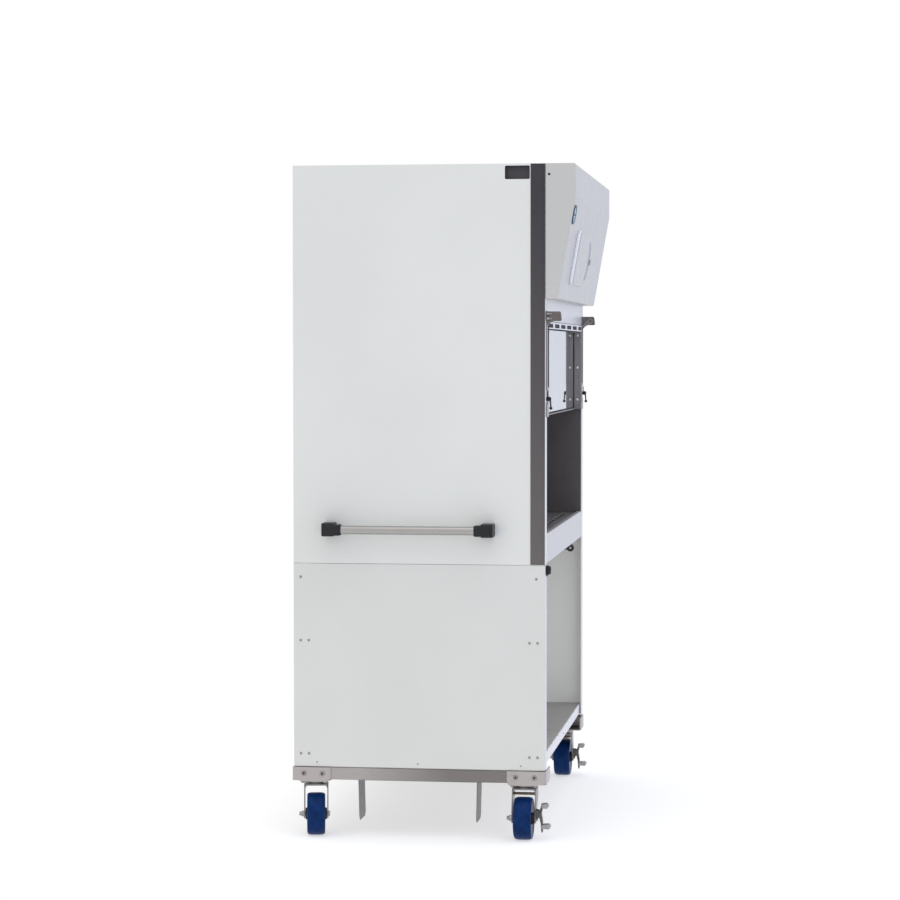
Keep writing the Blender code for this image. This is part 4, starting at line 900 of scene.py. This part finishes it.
def sash():
    """Window frame: folded side rails, slotted top channel, bottom strip, lugs, screws, gaskets."""
    low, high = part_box("sash_frame")
    web, flange_x = 0.558, high.x
    rear = FRONT + 0.03
    flange_y = FRONT - 0.003
    top = 1.5405
    bm = bmesh.new()
    for side in (-1, 1):
        rail = bmesh.new()
        path = [(side * flange_x, flange_y), (side * web, flange_y), (side * web, rear - 0.0022),
                (side * 0.545, rear - 0.0022)]
        fold(rail, path, "Z", (low.z, top), 0.0021, 0.0026, -side)
        notch = bmesh.new()
        prism(notch, rounded_rectangle((side * 0.592, side * 0.64), (1.297, 1.337), 0.004), "Y",
              (flange_y - 0.01, FRONT))
        absorb(bm, carve(rail, notch))
        lug = arc((HINGE_Y, HINGE_Z), 0.009, 30, 246, 18)
        lug += [(flange_y - 0.009, 1.537), (flange_y + 0.001, 1.526), (flange_y + 0.001, 1.5385)]
        plate(bm, lug, "X", (side * 0.5903, side * 0.5943),
              [circle((HINGE_Y, HINGE_Z), 0.0043)], 0.0003)
    channel = bmesh.new()
    inner = web + 0.0005
    path = [(flange_y, 1.5195), (flange_y, top - 0.0003), (rear - 0.0002, top - 0.0003),
            (rear - 0.0002, 1.52)]
    fold(channel, path, "X", (-inner, inner), 0.0021, 0.0027, -1)
    slots = bmesh.new()
    for slot in slot_row(6, 0.2, 1.529, 0.15, 0.012):
        prism(slots, slot, "Y", (flange_y - 0.01, FRONT + 0.002))
    piece("sash_channel", carve(channel, slots), BRIGHT_STEEL, body="sash")
    slab(bm, (-inner, inner), (FRONT + 0.018, rear - 0.0004), (low.z + 0.0001, low.z + 0.0028), 0.0004)
    piece("sash_frame_folded", bm, STAINLESS_Z, "sash_frame", body="sash")
    heads = bmesh.new()
    for side in (-1, 1):
        for z in (1.29, 1.398, 1.507):
            screw_head(heads, (side * web, FRONT + 0.012, z), (-side, 0, 0), 0.0044, 0.002)
    piece("sash_screws", heads, BRIGHT, body="sash")
    pane = bmesh.new()
    slab(pane, *zip(*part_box("sash_glass")), 0.0005)
    piece("sash_pane", pane, GLASS, "sash_glass", body="sash")
    seals = bmesh.new()
    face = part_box("sash_glass")[0].y
    seal_y, seal_x = (face - 0.0016, face - 0.0001), (0.006 - web, web - 0.006)
    slab_pair(seals, web - 0.0002, web - 0.0055, seal_y, (low.z + 0.003, 1.515), 0.0005)
    slab(seals, seal_x, seal_y, (low.z + 0.003, low.z + 0.0075), 0.0005)
    slab(seals, seal_x, (flange_y + 0.003, flange_y + 0.0045), (1.52, 1.537), 0.0004)
    slab_pair(seals, 0.564, 0.5885, (flange_y - 0.0009, flange_y + 0.0002), (1.345, 1.533), 0.0004)
    piece("glass_seals", seals, GASKET, body="sash")


def hinge(label, side):
    """Hinge bracket: folded foot and arm, pin with a collar, two studs with nuts."""
    node = "sash_hinge_" + label
    low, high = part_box(node)
    bm = bmesh.new()
    plate(bm, rounded_rectangle((side * 0.599, side * 0.6345), (low.z, high.z), 0.003), "Y",
          (FRONT - 0.0033, FRONT - GAP), (), 0.0006)
    arm = [(FRONT - 0.0006, low.z + 0.0002), (low.y + 0.003, low.z + 0.0002),
           (low.y + 0.0003, low.z + 0.003), (low.y + 0.0025, high.z - 0.004),
           (low.y + 0.006, high.z - 0.0002), (FRONT - 0.0006, high.z - 0.0002)]
    plate(bm, arm, "X", (side * 0.597, side * 0.6005), (), 0.0006)
    rod(bm, (side * 0.589, HINGE_Y, HINGE_Z), (side * 0.5975, HINGE_Y, HINGE_Z), 0.004)
    turned(bm, [(0.0068, 0), (0.0068, 0.0016), (0.0058, 0.0022)], (side * 0.6004, HINGE_Y, HINGE_Z),
           (side, 0, 0), 24)
    piece("hinge_bracket_" + label, bm, HINGE_STEEL, node)
    studs = bmesh.new()
    for z in (1.549, 1.563):
        rod(studs, (side * 0.617, FRONT - 0.003, z), (side * 0.617, FRONT - 0.018, z), 0.0024, 18)
        for k in range(6):
            level = FRONT - 0.0105 - k * 0.0012
            turned(studs, [(0.0023, 0), (0.0027, 0.0004), (0.0023, 0.0008)], (side * 0.617, level, z),
                   OUT, 18)
        hex_head(studs, (side * 0.617, FRONT - 0.0032, z), OUT, 0.0042, 0.005)
    piece("hinge_studs_" + label, studs, ZINC)


def latch(label, side):
    """Turning latch: stepped knob with a collar, rounded tongue, bent stem with a ball."""
    node = "sash_latch_" + label
    x, z = side * 0.606, 1.311
    bm = bmesh.new()
    turned(bm, [(0.005, 0.0006), (0.0054, 0.003), (0.006, 0.006), (0.0068, 0.0072), (0.0068, 0.0092),
                (0.0062, 0.0122), (0.005, 0.0138), (0.003, 0.0145)], (x, FRONT, z), OUT, 32)
    tongue = [(x - 0.004, z - 0.004), (x + 0.004, z - 0.004)] + arc((x, z + 0.019), 0.004, 0, 180, 10)
    prism(bm, tongue, "Y", (FRONT - 0.0057, FRONT - 0.0037), 0.0004)
    rod(bm, (x, FRONT - 0.0115, z - 0.002), (x, FRONT - 0.0135, z - 0.025), 0.0022, 20)
    ball = bmesh.new()
    bmesh.ops.create_uvsphere(ball, u_segments=24, v_segments=14, radius=0.0048,
                              matrix=Matrix.Translation((x, FRONT - 0.0135, z - 0.0275)))
    absorb(bm, ball)
    piece("latch_knob_" + label, bm, BLACK, node, body="latch_" + label)
    screws("latch_screw_" + label, [(x, FRONT - 0.0143, z)], OUT, 0.0026, 0.001, None, 18,
           "latch_" + label)


# ---------------------------------------------------------------- services and handles
def drain():
    """Drain cock: hexagonal body with an outlet and a threaded neck, and a flat black lever."""
    low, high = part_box("drain_valve_body")
    x, y = 0.4, (low.y + high.y) / 2
    z = JOINTS["drain_lever"]["pos_m"][2]
    bm = bmesh.new()
    turned(bm, [(0.005, 0), (0.0062, 0.0004), (0.0062, 0.005), (0.0056, 0.006)], (x, y, low.z), UP, 28)
    turned(bm, [(0.0072, 0), (0.008, 0.0008), (0.008, 0.0172), (0.0072, 0.018)], (x, y, low.z + 0.006),
           UP, 6)
    threads = [(0.006, 0)]
    for k in range(12):
        threads += [(0.006, k * 0.0016 + 0.0005), (0.007, k * 0.0016 + 0.0012)]
    threads += [(0.0074, 0.0212), (0.0074, high.z - low.z - 0.024)]
    turned(bm, threads, (x, y, low.z + 0.024), UP, 28)
    rod(bm, (x - 0.005, y, z), (x - 0.0195, y, z), 0.0034)
    piece("drain_cock", bm, ZINC, "drain_valve_body")
    lever = bmesh.new()
    outline = arc((y, z), 0.0125, 60, 330, 22) + [(y + 0.0225, z - 0.0065), (y + 0.0242, z - 0.005),
                                                  (y + 0.0245, z + 0.0006), (y + 0.0235, z + 0.002),
                                                  (y + 0.014, z + 0.008)]
    plate(lever, outline, "X", (x - 0.0165, x - 0.01), [circle((y, z), 0.0037)], 0.0008)
    piece("drain_lever_grip", lever, BLACK, "drain_valve_lever", body="drain_lever")


def service_knob():
    """Fluted rotary knob with a flat cap and a pointer."""
    foot_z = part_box("service_knob")[0].z
    x, _, z = JOINTS["service_valve_knob"]["pos_m"]
    bm = bmesh.new()
    flutes = 20
    rim = []
    for k in range(flutes * 6):
        wave = math.cos(2 * math.pi * k / 6)
        radius = 0.0134 + 0.0006 * wave
        turn = 2 * math.pi * k / (flutes * 6)
        rim.append((x + radius * math.cos(turn), z + radius * math.sin(turn)))
    prism(bm, rim, "Y", (FRONT - 0.0018, FRONT - 0.0095), 0.0003, 1)
    turned(bm, [(0.014, GAP), (0.014, 0.0016), (0.0136, 0.002)], (x, FRONT, z), OUT, 48)
    turned(bm, [(0.0125, 0.009), (0.0122, 0.0112), (0.0108, 0.0138), (0.009, 0.015)], (x, FRONT, z),
           OUT, 48)
    slab(bm, (x - 0.002, x + 0.002), (FRONT - 0.005, FRONT - 0.001), (foot_z + 0.0001, z - 0.012), 0.0006)
    piece("service_knob_fluted", bm, BLACK, "service_knob", body="service_valve_knob")
    mark = bmesh.new()
    slab(mark, (x - 0.0007, x + 0.0007), (FRONT - 0.0153, FRONT - 0.0148), (z - 0.0085, z - 0.002), 0.0002)
    piece("service_knob_mark", mark, DIAL, body="service_valve_knob")


def handle(label, side):
    """Push handle: polished tube held in two stepped brackets."""
    node = "side_handle_" + label
    low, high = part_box(node)
    centre = (low + high) / 2
    radius = (high.z - low.z) / 2
    bm = bmesh.new()
    pipe(bm, (centre.x, low.y, centre.z), (centre.x, high.y, centre.z), radius, 0.0015, 72)
    piece("handle_tube_" + label, bm, HANDLE_STEEL, node)
    for end in ("front", "rear"):
        bracket(end, label, side, centre, radius)


def bracket(end, label, side, centre, radius):
    """Moulded bracket: sleeve, block on the panel and lip, all bored for the tube, and two screws."""
    node = "handle_bracket_%s_%s" % (end, label)
    low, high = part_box(node)
    start, inward = (low.y, 1) if end == "front" else (high.y, -1)
    x, z = centre.x, centre.z
    sleeve = rounded_rectangle((x - side * 0.0165, x + side * 0.019), (z - 0.0165, z + 0.0165), 0.0055)
    block = rounded_rectangle((side * (SIDE + GAP), x + side * 0.0165), (z - 0.019, z + 0.0205), 0.004)
    lip = rounded_rectangle((x - side * 0.0155, x + side * 0.0175), (z - 0.0155, z + 0.0155), 0.006)
    body = bmesh.new()
    shapes = (sleeve, 0.006, 0.054, 0.0018, 3), (block, 0, 0.036, 0.0022, 3), (lip, 0.047, 0.057, 0.0012, 2)
    for outline, first, last, edge, segments in shapes:
        shape, bore = bmesh.new(), bmesh.new()
        prism(shape, outline, "Y", (start + inward * first, start + inward * last), edge, segments)
        rod(bore, (x, start + inward * 0.0247, z), (x, start + inward * 0.09, z), radius + GAP, 56, 0)
        absorb(body, carve(shape, bore))
    piece("handle_end_%s_%s" % (end, label), body, BLACK, node)
    places = [(side * (SIDE + 0.018), start - inward * 0.0002, z + lift) for lift in (-0.009, 0.0105)]
    screws("handle_screws_%s_%s" % (end, label), places, (0, -inward, 0), 0.0032, 0.0011, BLACK, 20)


def inlet():
    """Mains inlet: flange, three-sided well with three blades, two screws."""
    low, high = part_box("power_inlet")
    centre = (low + high) / 2
    x, z = centre.x, centre.z
    seat = BACK - SHEET
    bm = bmesh.new()
    well = [(x - 0.0118, z - 0.0078), (x + 0.0118, z - 0.0078), (x + 0.0118, z + 0.003),
            (x + 0.0065, z + 0.0078), (x - 0.0065, z + 0.0078), (x - 0.0118, z + 0.003)]
    plate(bm, rounded_rectangle((low.x, high.x), (low.z, high.z), 0.004), "Y", (seat, seat + 0.003), [well],
          0.0006)
    shell = centred(x, z, 0.0145, 0.0105, 0.001)
    plate(bm, shell, "Y", (BACK - 0.0285, seat + 0.0004), [well], 0.0003)
    plate(bm, shell, "Y", (BACK - 0.03, BACK - 0.0284), (), 0.0003)
    piece("inlet_shell", bm, BLACK, "power_inlet")
    blades = bmesh.new()
    for dx, dz in ((-0.006, -0.002), (0.006, -0.002), (0, 0.003)):
        slab(blades, (x + dx - 0.001, x + dx + 0.001), (BACK - 0.0286, BACK - 0.004),
             (z + dz - 0.002, z + dz + 0.002), 0.0003)
    for side in (-1, 1):
        screw_head(blades, (x + side * 0.0195, seat + 0.0029, z), (0, 1, 0), 0.0028, 0.0008, 20)
    piece("inlet_blades", blades, SCREW)


# ---------------------------------------------------------------- base frame and casters
def base():
    """Square tubes with soft corners, open ends with inner wall, and weld beads at the joints."""
    tube, corner, wall = 0.038, 0.0032, 0.0025
    bm = bmesh.new()
    middle_z = (RAIL_LOW + RAIL_HIGH) / 2
    for side in (-1, 1):
        middle_x = side * (SIDE - tube / 2)
        cap = centred(middle_x, middle_z, tube / 2 - wall, (RAIL_HIGH - RAIL_LOW) / 2 - wall, 0.0012, 4)
        outer = centred(middle_x, middle_z, tube / 2, (RAIL_HIGH - RAIL_LOW) / 2, corner, 6)
        plate(bm, outer, "Y", (FRONT, BACK), [cap], 0.0004)
        for level, inward in ((FRONT, 1), (BACK, -1)):
            plate(bm, cap, "Y", (level + inward * 0.0015, level + inward * 0.0035), (), 0.0003)
    rows = ((FRONT + 0.05, FRONT + 0.05 + tube), (BACK - 0.05 - tube, BACK - 0.05))
    for y in rows:
        profile = rounded_rectangle(y, (RAIL_LOW, RAIL_HIGH - 0.001), corner, 6)
        prism(bm, profile, "X", (-(SIDE - tube + 0.0004), SIDE - tube + 0.0004))
    piece("base_tubes", bm, STAINLESS, "base_frame")
    beads = bmesh.new()
    for x in (tube - SIDE, SIDE - tube):
        for y in rows:
            for edge_y in y:
                for k in range(9):
                    weld_bead(beads, (x, edge_y, RAIL_LOW + 0.004 + k * 0.0036), UP, 0.0021, 0.0016)
            for k in range(8):
                weld_bead(beads, (x, y[0] + 0.004 + k * 0.0042, RAIL_LOW + 0.0004), (0, 1, 0), 0.0018, 0.0018)
    piece("base_weld_beads", beads, ZINC)


def weld_bead(bm, place, axis, radius, reach):
    """One ripple of a weld."""
    outline = [(0.0006, -reach), (radius, -reach / 2), (radius, reach / 2), (0.0006, reach)]
    turned(bm, outline, place, axis, 12)


def corner(name, side, end):
    """Corner plate folded round the rail's end, the caster's plate, bolts and nuts."""
    node = "corner_plate_" + name
    out_x, reach, thick = SIDE + 0.004, 0.117, 0.0037
    out_y = (BACK if end > 0 else FRONT) + end * 0.004
    top, low_z, chamfer = RAIL_HIGH - GAP, 0.166, 0.01
    far_x, far_y = side * (out_x - reach), out_y - end * reach
    bm = bmesh.new()
    path = [(side * out_x, far_y), (side * out_x, out_y), (far_x, out_y)]
    fold(bm, path, "Z", (low_z, top), thick, 0.006, side * end)
    cuts = bmesh.new()
    for y, way in ((far_y, end), (out_y, -end)):
        prism(cuts, [(y - way * 0.001, low_z - 0.001), (y + way * chamfer, low_z - 0.001),
                     (y - way * 0.001, low_z + chamfer)], "X",
              (side * (out_x + 0.001), side * (out_x - thick - 0.001)))
    prism(cuts, [(far_x - side * 0.001, low_z - 0.001), (far_x + side * (chamfer + 0.003), low_z - 0.001),
                 (far_x - side * 0.001, low_z + chamfer + 0.003)], "Y",
          (out_y + end * 0.001, out_y - end * (thick + 0.001)))
    bm = carve(bm, cuts)
    slab(bm, (side * (out_x - 0.0015), side * (out_x - reach - 0.001)),
         (out_y - end * 0.003, out_y - end * (reach - 0.002)), (0.1662, RAIL_LOW - GAP), 0.0006)
    centre = Vector(JOINTS["swivel_" + name]["pos_m"])
    plate(bm, centred(centre.x, centre.y, 0.05, 0.043, 0.005), "Z", (0.161, 0.1665), (), 0.0008)
    piece("corner_bracket_" + name, bm, PLATE_STEEL, node)
    bolts, socket_shades = bmesh.new(), bmesh.new()
    for inset in (0.035, 0.091):
        place = (side * out_x, out_y - end * inset, 0.188)
        screw_head(bolts, place, (side, 0, 0), 0.008, 0.0035, 36)
        # Black hexagons filling the sockets: painted shade in the recesses.
        turned(socket_shades, [(0.0034, 0.0002), (0.0034, 0.0019), (0.0029, 0.0022)], place, (side, 0, 0), 6)
    for x in (centre.x - 0.04, centre.x + 0.04):
        for y in (centre.y - 0.034, centre.y + 0.034):
            hex_head(bolts, (x, y, 0.1612), (0, 0, -1), 0.0062, 0.0045)
            rod(bolts, (x, y, 0.157), (x, y, 0.1551), 0.0034, 18)
    piece("corner_bolts_" + name, bolts, BOLT)
    piece("corner_bolt_socket_shades_" + name, socket_shades, BLACK)


def guide(label, side):
    """Fork guide: folded from one plate, its legs slope to soft lower corners."""
    node = "fork_guide_" + label
    low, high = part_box(node)
    thick, lean = 0.003, 0.003
    x = sorted((side * 0.59, side * 0.49))
    bm = bmesh.new()
    web_x = sorted((side * 0.6218, side * 0.489))
    prism(bm, rounded_rectangle(web_x, (low.y + 0.0004, high.y - 0.0004), 0.006), "Z",
          (high.z - thick, high.z), 0.0005)
    for y, inward in ((low.y, 1), (high.y, -1)):
        leg = bmesh.new()
        outline = [(x[0], high.z - 0.001), (x[0], low.z + 0.012), (x[0] + 0.012, low.z),
                   (x[1] - 0.012, low.z), (x[1], low.z + 0.012), (x[1], high.z - 0.001)]
        plate(leg, outline, "Y", (y, y + inward * thick), (), 0.0005)
        for vert in leg.verts:
            vert.co.y += inward * lean * (high.z - vert.co.z) / (high.z - low.z)
        absorb(bm, leg)
    piece("guide_plates_" + label, bm, GUIDE_GREY, node)


def caster(name, side, end):
    """One caster, built about its swivel axis: fork, race, wheel, hub covers, axle and brake."""
    place = Matrix.Translation(Vector(JOINTS["swivel_" + name]["pos_m"]) * Vector((1, 1, 0)))
    axle = Vector(JOINTS["roll_" + name]["pos_m"])
    trail = place.inverted() @ axle
    turn = math.atan2(trail.y, trail.x) - (math.pi if side < 0 else 0.0)
    local = place @ Matrix.Rotation(turn, 4, "Z")
    swivel, wheel_body = "swivel_" + name, "wheel_" + name
    wheel_x, wheel_z = side * 0.04, axle.z
    hub_place = (wheel_x, 0, wheel_z)

    fork = bmesh.new()
    crown = rounded_rectangle((-0.031, 0.031), (-0.0363, 0.0363), 0.006)
    prism(fork, crown, "Z", (0.1455, 0.15), 0.0008)
    foot = arc((side * wheel_x, wheel_z), 0.015, 0, -180, 18)
    outline = [(-0.0305, 0.1495), (0.0305, 0.1495)] + foot + [(-0.0305, 0.125)]
    outline = [(side * u, v) for u, v in rounded_loop(outline, 0.004)]
    eye = circle((wheel_x, wheel_z), 0.0063)
    for way in (-1, 1):
        plate(fork, outline, "Y", (way * 0.033, way * 0.0365), [eye], 0.0006)
        prism(fork, [(way * 0.0332, 0.1457), (way * 0.0262, 0.1457), (way * 0.0305, 0.1425),
                     (way * 0.0332, 0.135)], "X", (-0.027, 0.027))
    piece("fork_yoke_" + name, fork, STAINLESS_Z, "caster_fork_" + name, swivel, place=local)

    race = bmesh.new()
    turned(race, [(0.0215, 0.1495), (0.03, 0.1495), (0.0305, 0.1515), (0.029, 0.154), (0.0265, 0.155),
                  (0.0265, 0.156), (0.0298, 0.1568), (0.0298, 0.16), (0.0285, 0.1607), (0.0215, 0.1607)],
           (0, 0, 0), UP, 56, ring=True)
    turned(race, [(0.008, 0.144), (0.0092, 0.1445), (0.0092, 0.1455), (0.0216, 0.15), (0.0216, 0.1604)],
           (0, 0, 0), UP, 40)
    piece("swivel_race_" + name, race, ZINC, body=swivel, place=local)

    tyre = bmesh.new()
    half = 0.027
    profile = [(0.0175, half - 0.004), (0.04, half - 0.0022), (0.048, half - 0.002),
               (0.0515, half - 0.0004), (0.057, half), (0.0598, half - 0.0012), (0.0618, half - 0.0042),
               (0.063, half - 0.009), (0.0635, half - 0.016)]
    profile += [(radius, -level) for radius, level in reversed(profile)]
    turned(tyre, profile, hub_place, (0, 1, 0), 96, ring=True)
    piece("wheel_tread_" + name, tyre, TREAD, "caster_wheel_" + name, wheel_body, smooth=30, place=local)

    hub = bmesh.new()
    for way in (-1, 1):
        turned(hub, [(0.0064, half - 0.006), (0.018, half - 0.006), (0.018, 0.03), (0.0172, 0.0316),
                     (0.012, 0.0324), (0.011, 0.0312), (0.0064, 0.0312)],
               hub_place, (0, way, 0), 48, ring=True)
    turned(hub, [(0.0064, -0.02), (0.0176, -0.02), (0.0176, 0.02), (0.0064, 0.02)],
           hub_place, (0, 1, 0), 32, ring=True)
    piece("hub_covers_" + name, hub, BLACK, body=wheel_body, place=local)

    bolt = bmesh.new()
    rod(bolt, (wheel_x, -0.0385, wheel_z), (wheel_x, 0.0508, wheel_z), 0.0059)
    for k in range(7):
        turned(bolt, [(0.0054, 0), (0.006, 0.0004), (0.0054, 0.0009)],
               (wheel_x, 0.0448 + k * 0.0008, wheel_z), (0, 1, 0), 24)
    hex_head(bolt, (wheel_x, -0.0368, wheel_z), OUT, 0.0084, 0.005)
    hex_head(bolt, (wheel_x, 0.0368, wheel_z), (0, 1, 0), 0.0093, 0.008)
    piece("axle_bolt_" + name, bolt, ZINC, "caster_axle_" + name, swivel, place=local)
    if end < 0:
        brake(name, local, wheel_x)


def rounded_loop(points, radius, steps=3):
    """Closed outline whose sharp outer corners are softened; near-straight ones stay."""
    made = []
    count = len(points)
    for index in range(count):
        before, corner, after = (Vector(points[(index + k) % count]) for k in (-1, 0, 1))
        into, out = before - corner, after - corner
        reach = min(radius, into.length / 2, out.length / 2)
        if into.angle(out) > math.radians(155):
            made.append(tuple(corner))
            continue
        start, finish_at = corner + into.normalized() * reach, corner + out.normalized() * reach
        for k in range(steps + 1):
            share = k / steps
            point = start * (1 - share) ** 2 + corner * 2 * share * (1 - share) + finish_at * share ** 2
            made.append(tuple(point))
    return made


def brake(name, local, wheel_x):
    """Brake: cheeks, pin and the bar over the wheel on the fork; the two-pedal rocker moves."""
    pin_y, pin_z = -0.0485, 0.078
    swivel, body = "swivel_" + name, "brake_" + name
    cheeks = bmesh.new()
    for way in (-1, 1):
        cheek = [(-0.0355, 0.062), (-0.0355, 0.091), (pin_y + 0.004, 0.089), (pin_y - 0.004, 0.081),
                 (pin_y - 0.004, 0.075), (pin_y + 0.006, 0.063)]
        plate(cheeks, cheek, "X", (wheel_x + way * 0.0106, wheel_x + way * 0.0131), (), 0.0005)
        turned(cheeks, [(0.004, 0), (0.004, 0.0006), (0.003, 0.0012)],
               (wheel_x + way * 0.0131, pin_y, pin_z), (way, 0, 0), 20)
    rod(cheeks, (wheel_x - 0.014, pin_y, pin_z), (wheel_x + 0.014, pin_y, pin_z), 0.0029)
    piece("brake_cheeks_" + name, cheeks, ROCKER_STEEL, body=swivel, place=local)
    bar = bmesh.new()
    rod(bar, (wheel_x / 2, -0.0335, 0.1345), (wheel_x / 2, 0.0335, 0.1345), 0.004)
    for way in (-1, 1):
        turned(bar, [(0.0056, 0), (0.0056, 0.001), (0.0044, 0.0016)],
               (wheel_x / 2, way * 0.0314, 0.1345), (0, -way, 0), 20)
    piece("brake_bar_" + name, bar, BRONZE, body=swivel, place=local)
    rocker = bmesh.new()
    face = pin_y - 0.004
    turned(rocker, [(0.0033, -0.0094), (0.0054, -0.0094), (0.0054, 0.0094), (0.0033, 0.0094)],
           (wheel_x, pin_y, pin_z), (1, 0, 0), 32, ring=True)
    spine = [(face + 0.0085, 0.079), (face + 0.001, 0.099), (face - 0.0005, 0.1085),
             (face - 0.0045, 0.1085), (face - 0.0048, 0.096), (face - 0.001, 0.08), (face - 0.0048, 0.054),
             (face - 0.0048, 0.0235), (face - 0.002, 0.022), (face, 0.03), (face + 0.001, 0.05)]
    prism(rocker, rounded_loop(spine, 0.002), "X", (wheel_x - 0.0092, wheel_x + 0.0092), 0.0006)
    piece("brake_rocker_" + name, rocker, ROCKER_STEEL, "brake_lever_" + name, body, place=local)
    pedals, ribs = bmesh.new(), bmesh.new()
    for low, high, reach in ((0.095, 0.1095, 0.017), (0.0335, 0.048, 0.023)):
        middle, half = (low + high) / 2, (high - low) / 2
        pad = arc((face - 0.005 - reach + half, middle), half, 90, 270, 14)
        pad += [(face - 0.001, middle - 0.0055), (face - 0.001, middle + 0.0055)]
        prism(pedals, pad, "X", (wheel_x - 0.0139, wheel_x + 0.0139), 0.0016, 3)
        for k in range(4):
            y = face - 0.0085 - k * (reach - 0.006) / 4
            slab(ribs, (wheel_x - 0.0115, wheel_x + 0.0115), (y, y - 0.0016),
                 (high - 0.0024, high - 0.0001), 0.0004)
    piece("brake_pedals_" + name, pedals, PEDAL, body=body, place=local)
    piece("brake_pedal_ribs_" + name, ribs, PEDAL, body=body, place=local)


for label, side in SIDES:
    upper_side(label, side)
    lower_side(label, side)
    trim_strip(label, side)
    hinge(label, side)
    latch(label, side)
    handle(label, side)
    guide(label, side)
back_panels()
top_panel()
front_sheets()
storage_shelf()
head()
control_pad()
push_button()
gauge()
chamber()
tray()
pleated_filter("supply_filter", "supply_filter", 0.05, 0.016)
pleated_filter("exhaust_filter", "exhaust_filter", 0.07, 0.014)
lamp()
blower()
sash()
drain()
service_knob()
inlet()
base()
for name, side, end in CORNERS:
    corner(name, side, end)
    caster(name, side, end)


# ---------------------------------------------------------------- studio
def studio_floor():
    """Round white floor, part lit from within, that fades out before its rim: no horizon shows."""
    bm = bmesh.new()
    bmesh.ops.create_circle(bm, cap_ends=True, segments=96, radius=4.0)
    mesh = bpy.data.meshes.new("studio_floor")
    bm.to_mesh(mesh)
    bm.free()
    floor = bpy.data.objects.new("studio_floor", mesh)
    bpy.context.scene.collection.objects.link(floor)
    made = bpy.data.materials.new("studio_floor")
    made.use_nodes = True
    tree = made.node_tree
    tree.nodes.clear()
    place = add_node(tree, "TexCoord").outputs["Object"]
    distance = add_node(tree, "VectorMath", links={0: place}, operation="LENGTH").outputs["Value"]
    fade = add_node(tree, "MapRange", {"From Min": 0.9, "From Max": 2.6}, {"Value": distance},
                    interpolation_type="SMOOTHSTEP")
    paint = add_node(tree, "BsdfDiffuse", {"Color": (0.9, 0.9, 0.9, 1.0)})
    glow = add_node(tree, "Emission", {"Color": (1.0, 1.0, 1.0, 1.0), "Strength": 1.43})
    lit = add_node(tree, "MixShader", {"Fac": 0.37}, {1: paint, 2: glow})
    clear = add_node(tree, "BsdfTransparent")
    faded = add_node(tree, "MixShader", links={"Fac": fade, 1: lit, 2: clear})
    add_node(tree, "OutputMaterial", links={"Surface": faded})
    mesh.materials.append(made)


def studio_world():
    """White surround with a cool tint ahead of the cabinet's front."""
    world = bpy.data.worlds.new("studio")
    bpy.context.scene.world = world
    world.use_nodes = True
    tree = world.node_tree
    place = add_node(tree, "TexCoord").outputs["Generated"]
    ahead = add_node(tree, "SeparateXYZ", links={"Vector": place}).outputs["Y"]
    share = add_node(tree, "MapRange", {"From Min": -1.0, "From Max": 1.0}, {"Value": ahead})
    ramp = colour_ramp(tree, share, (0.1, (0.78, 0.82, 1.0)), (0.4825, (1.0, 1.0, 1.0)),
                       (0.455, (0.93, 0.97, 1.07)))
    ramp.color_ramp.interpolation = "EASE"
    tree.links.new(ramp.outputs[0], tree.nodes["Background"].inputs["Color"])


def soft_light(name, place, target, size, power, colour=(1, 1, 1)):
    """Large square area light aimed at a point."""
    data = bpy.data.lights.new(name, "AREA")
    data.shape = "RECTANGLE"
    data.size, data.size_y = size
    data.energy = power
    data.color = colour
    lamp = bpy.data.objects.new(name, data)
    lamp.location = place
    lamp.rotation_mode = "QUATERNION"
    lamp.rotation_quaternion = (Vector(target) - Vector(place)).to_track_quat("-Z", "Y")
    bpy.context.scene.collection.objects.link(lamp)
    return lamp


def studio_camera():
    """Long lens at chest height, square to the left side, a little ahead of the middle."""
    yaw, pitch, roll = 0.13586, -0.03587, -0.00047
    forward = Vector((math.cos(yaw) * math.cos(pitch), math.sin(yaw) * math.cos(pitch), math.sin(pitch)))
    data = bpy.data.cameras.new("camera")
    data.lens = 107.66
    data.sensor_width = 36.0
    data.clip_start, data.clip_end = 0.5, 60.0
    camera = bpy.data.objects.new("camera", data)
    camera.location = (-8.544, -1.1325, 1.446)
    camera.rotation_mode = "QUATERNION"
    tilt = Matrix.Rotation(roll, 3, "Z").to_quaternion()
    camera.rotation_quaternion = forward.to_track_quat("-Z", "Y") @ tilt
    bpy.context.scene.collection.objects.link(camera)
    bpy.context.scene.camera = camera


studio_floor()
studio_world()
soft_light("overhead", (-1.8, -0.4, 4.6), (0, 0, 0.9), (3.4, 3.4), 18.0)
soft_light("bay_glow", (-0.6, 0.02, 0.52), (0.6, 0.02, 0.5), (0.55, 0.45), 2.7).visible_camera = False
soft_light("front_fill", (-0.6, -3.6, 1.3), (0.2, 0.2, 0.8), (3.0, 2.2), 11.0, (0.97, 0.98, 1.0))
studio_camera()
view = bpy.context.scene.view_settings
view.view_transform = "Standard"
view.look = "None"
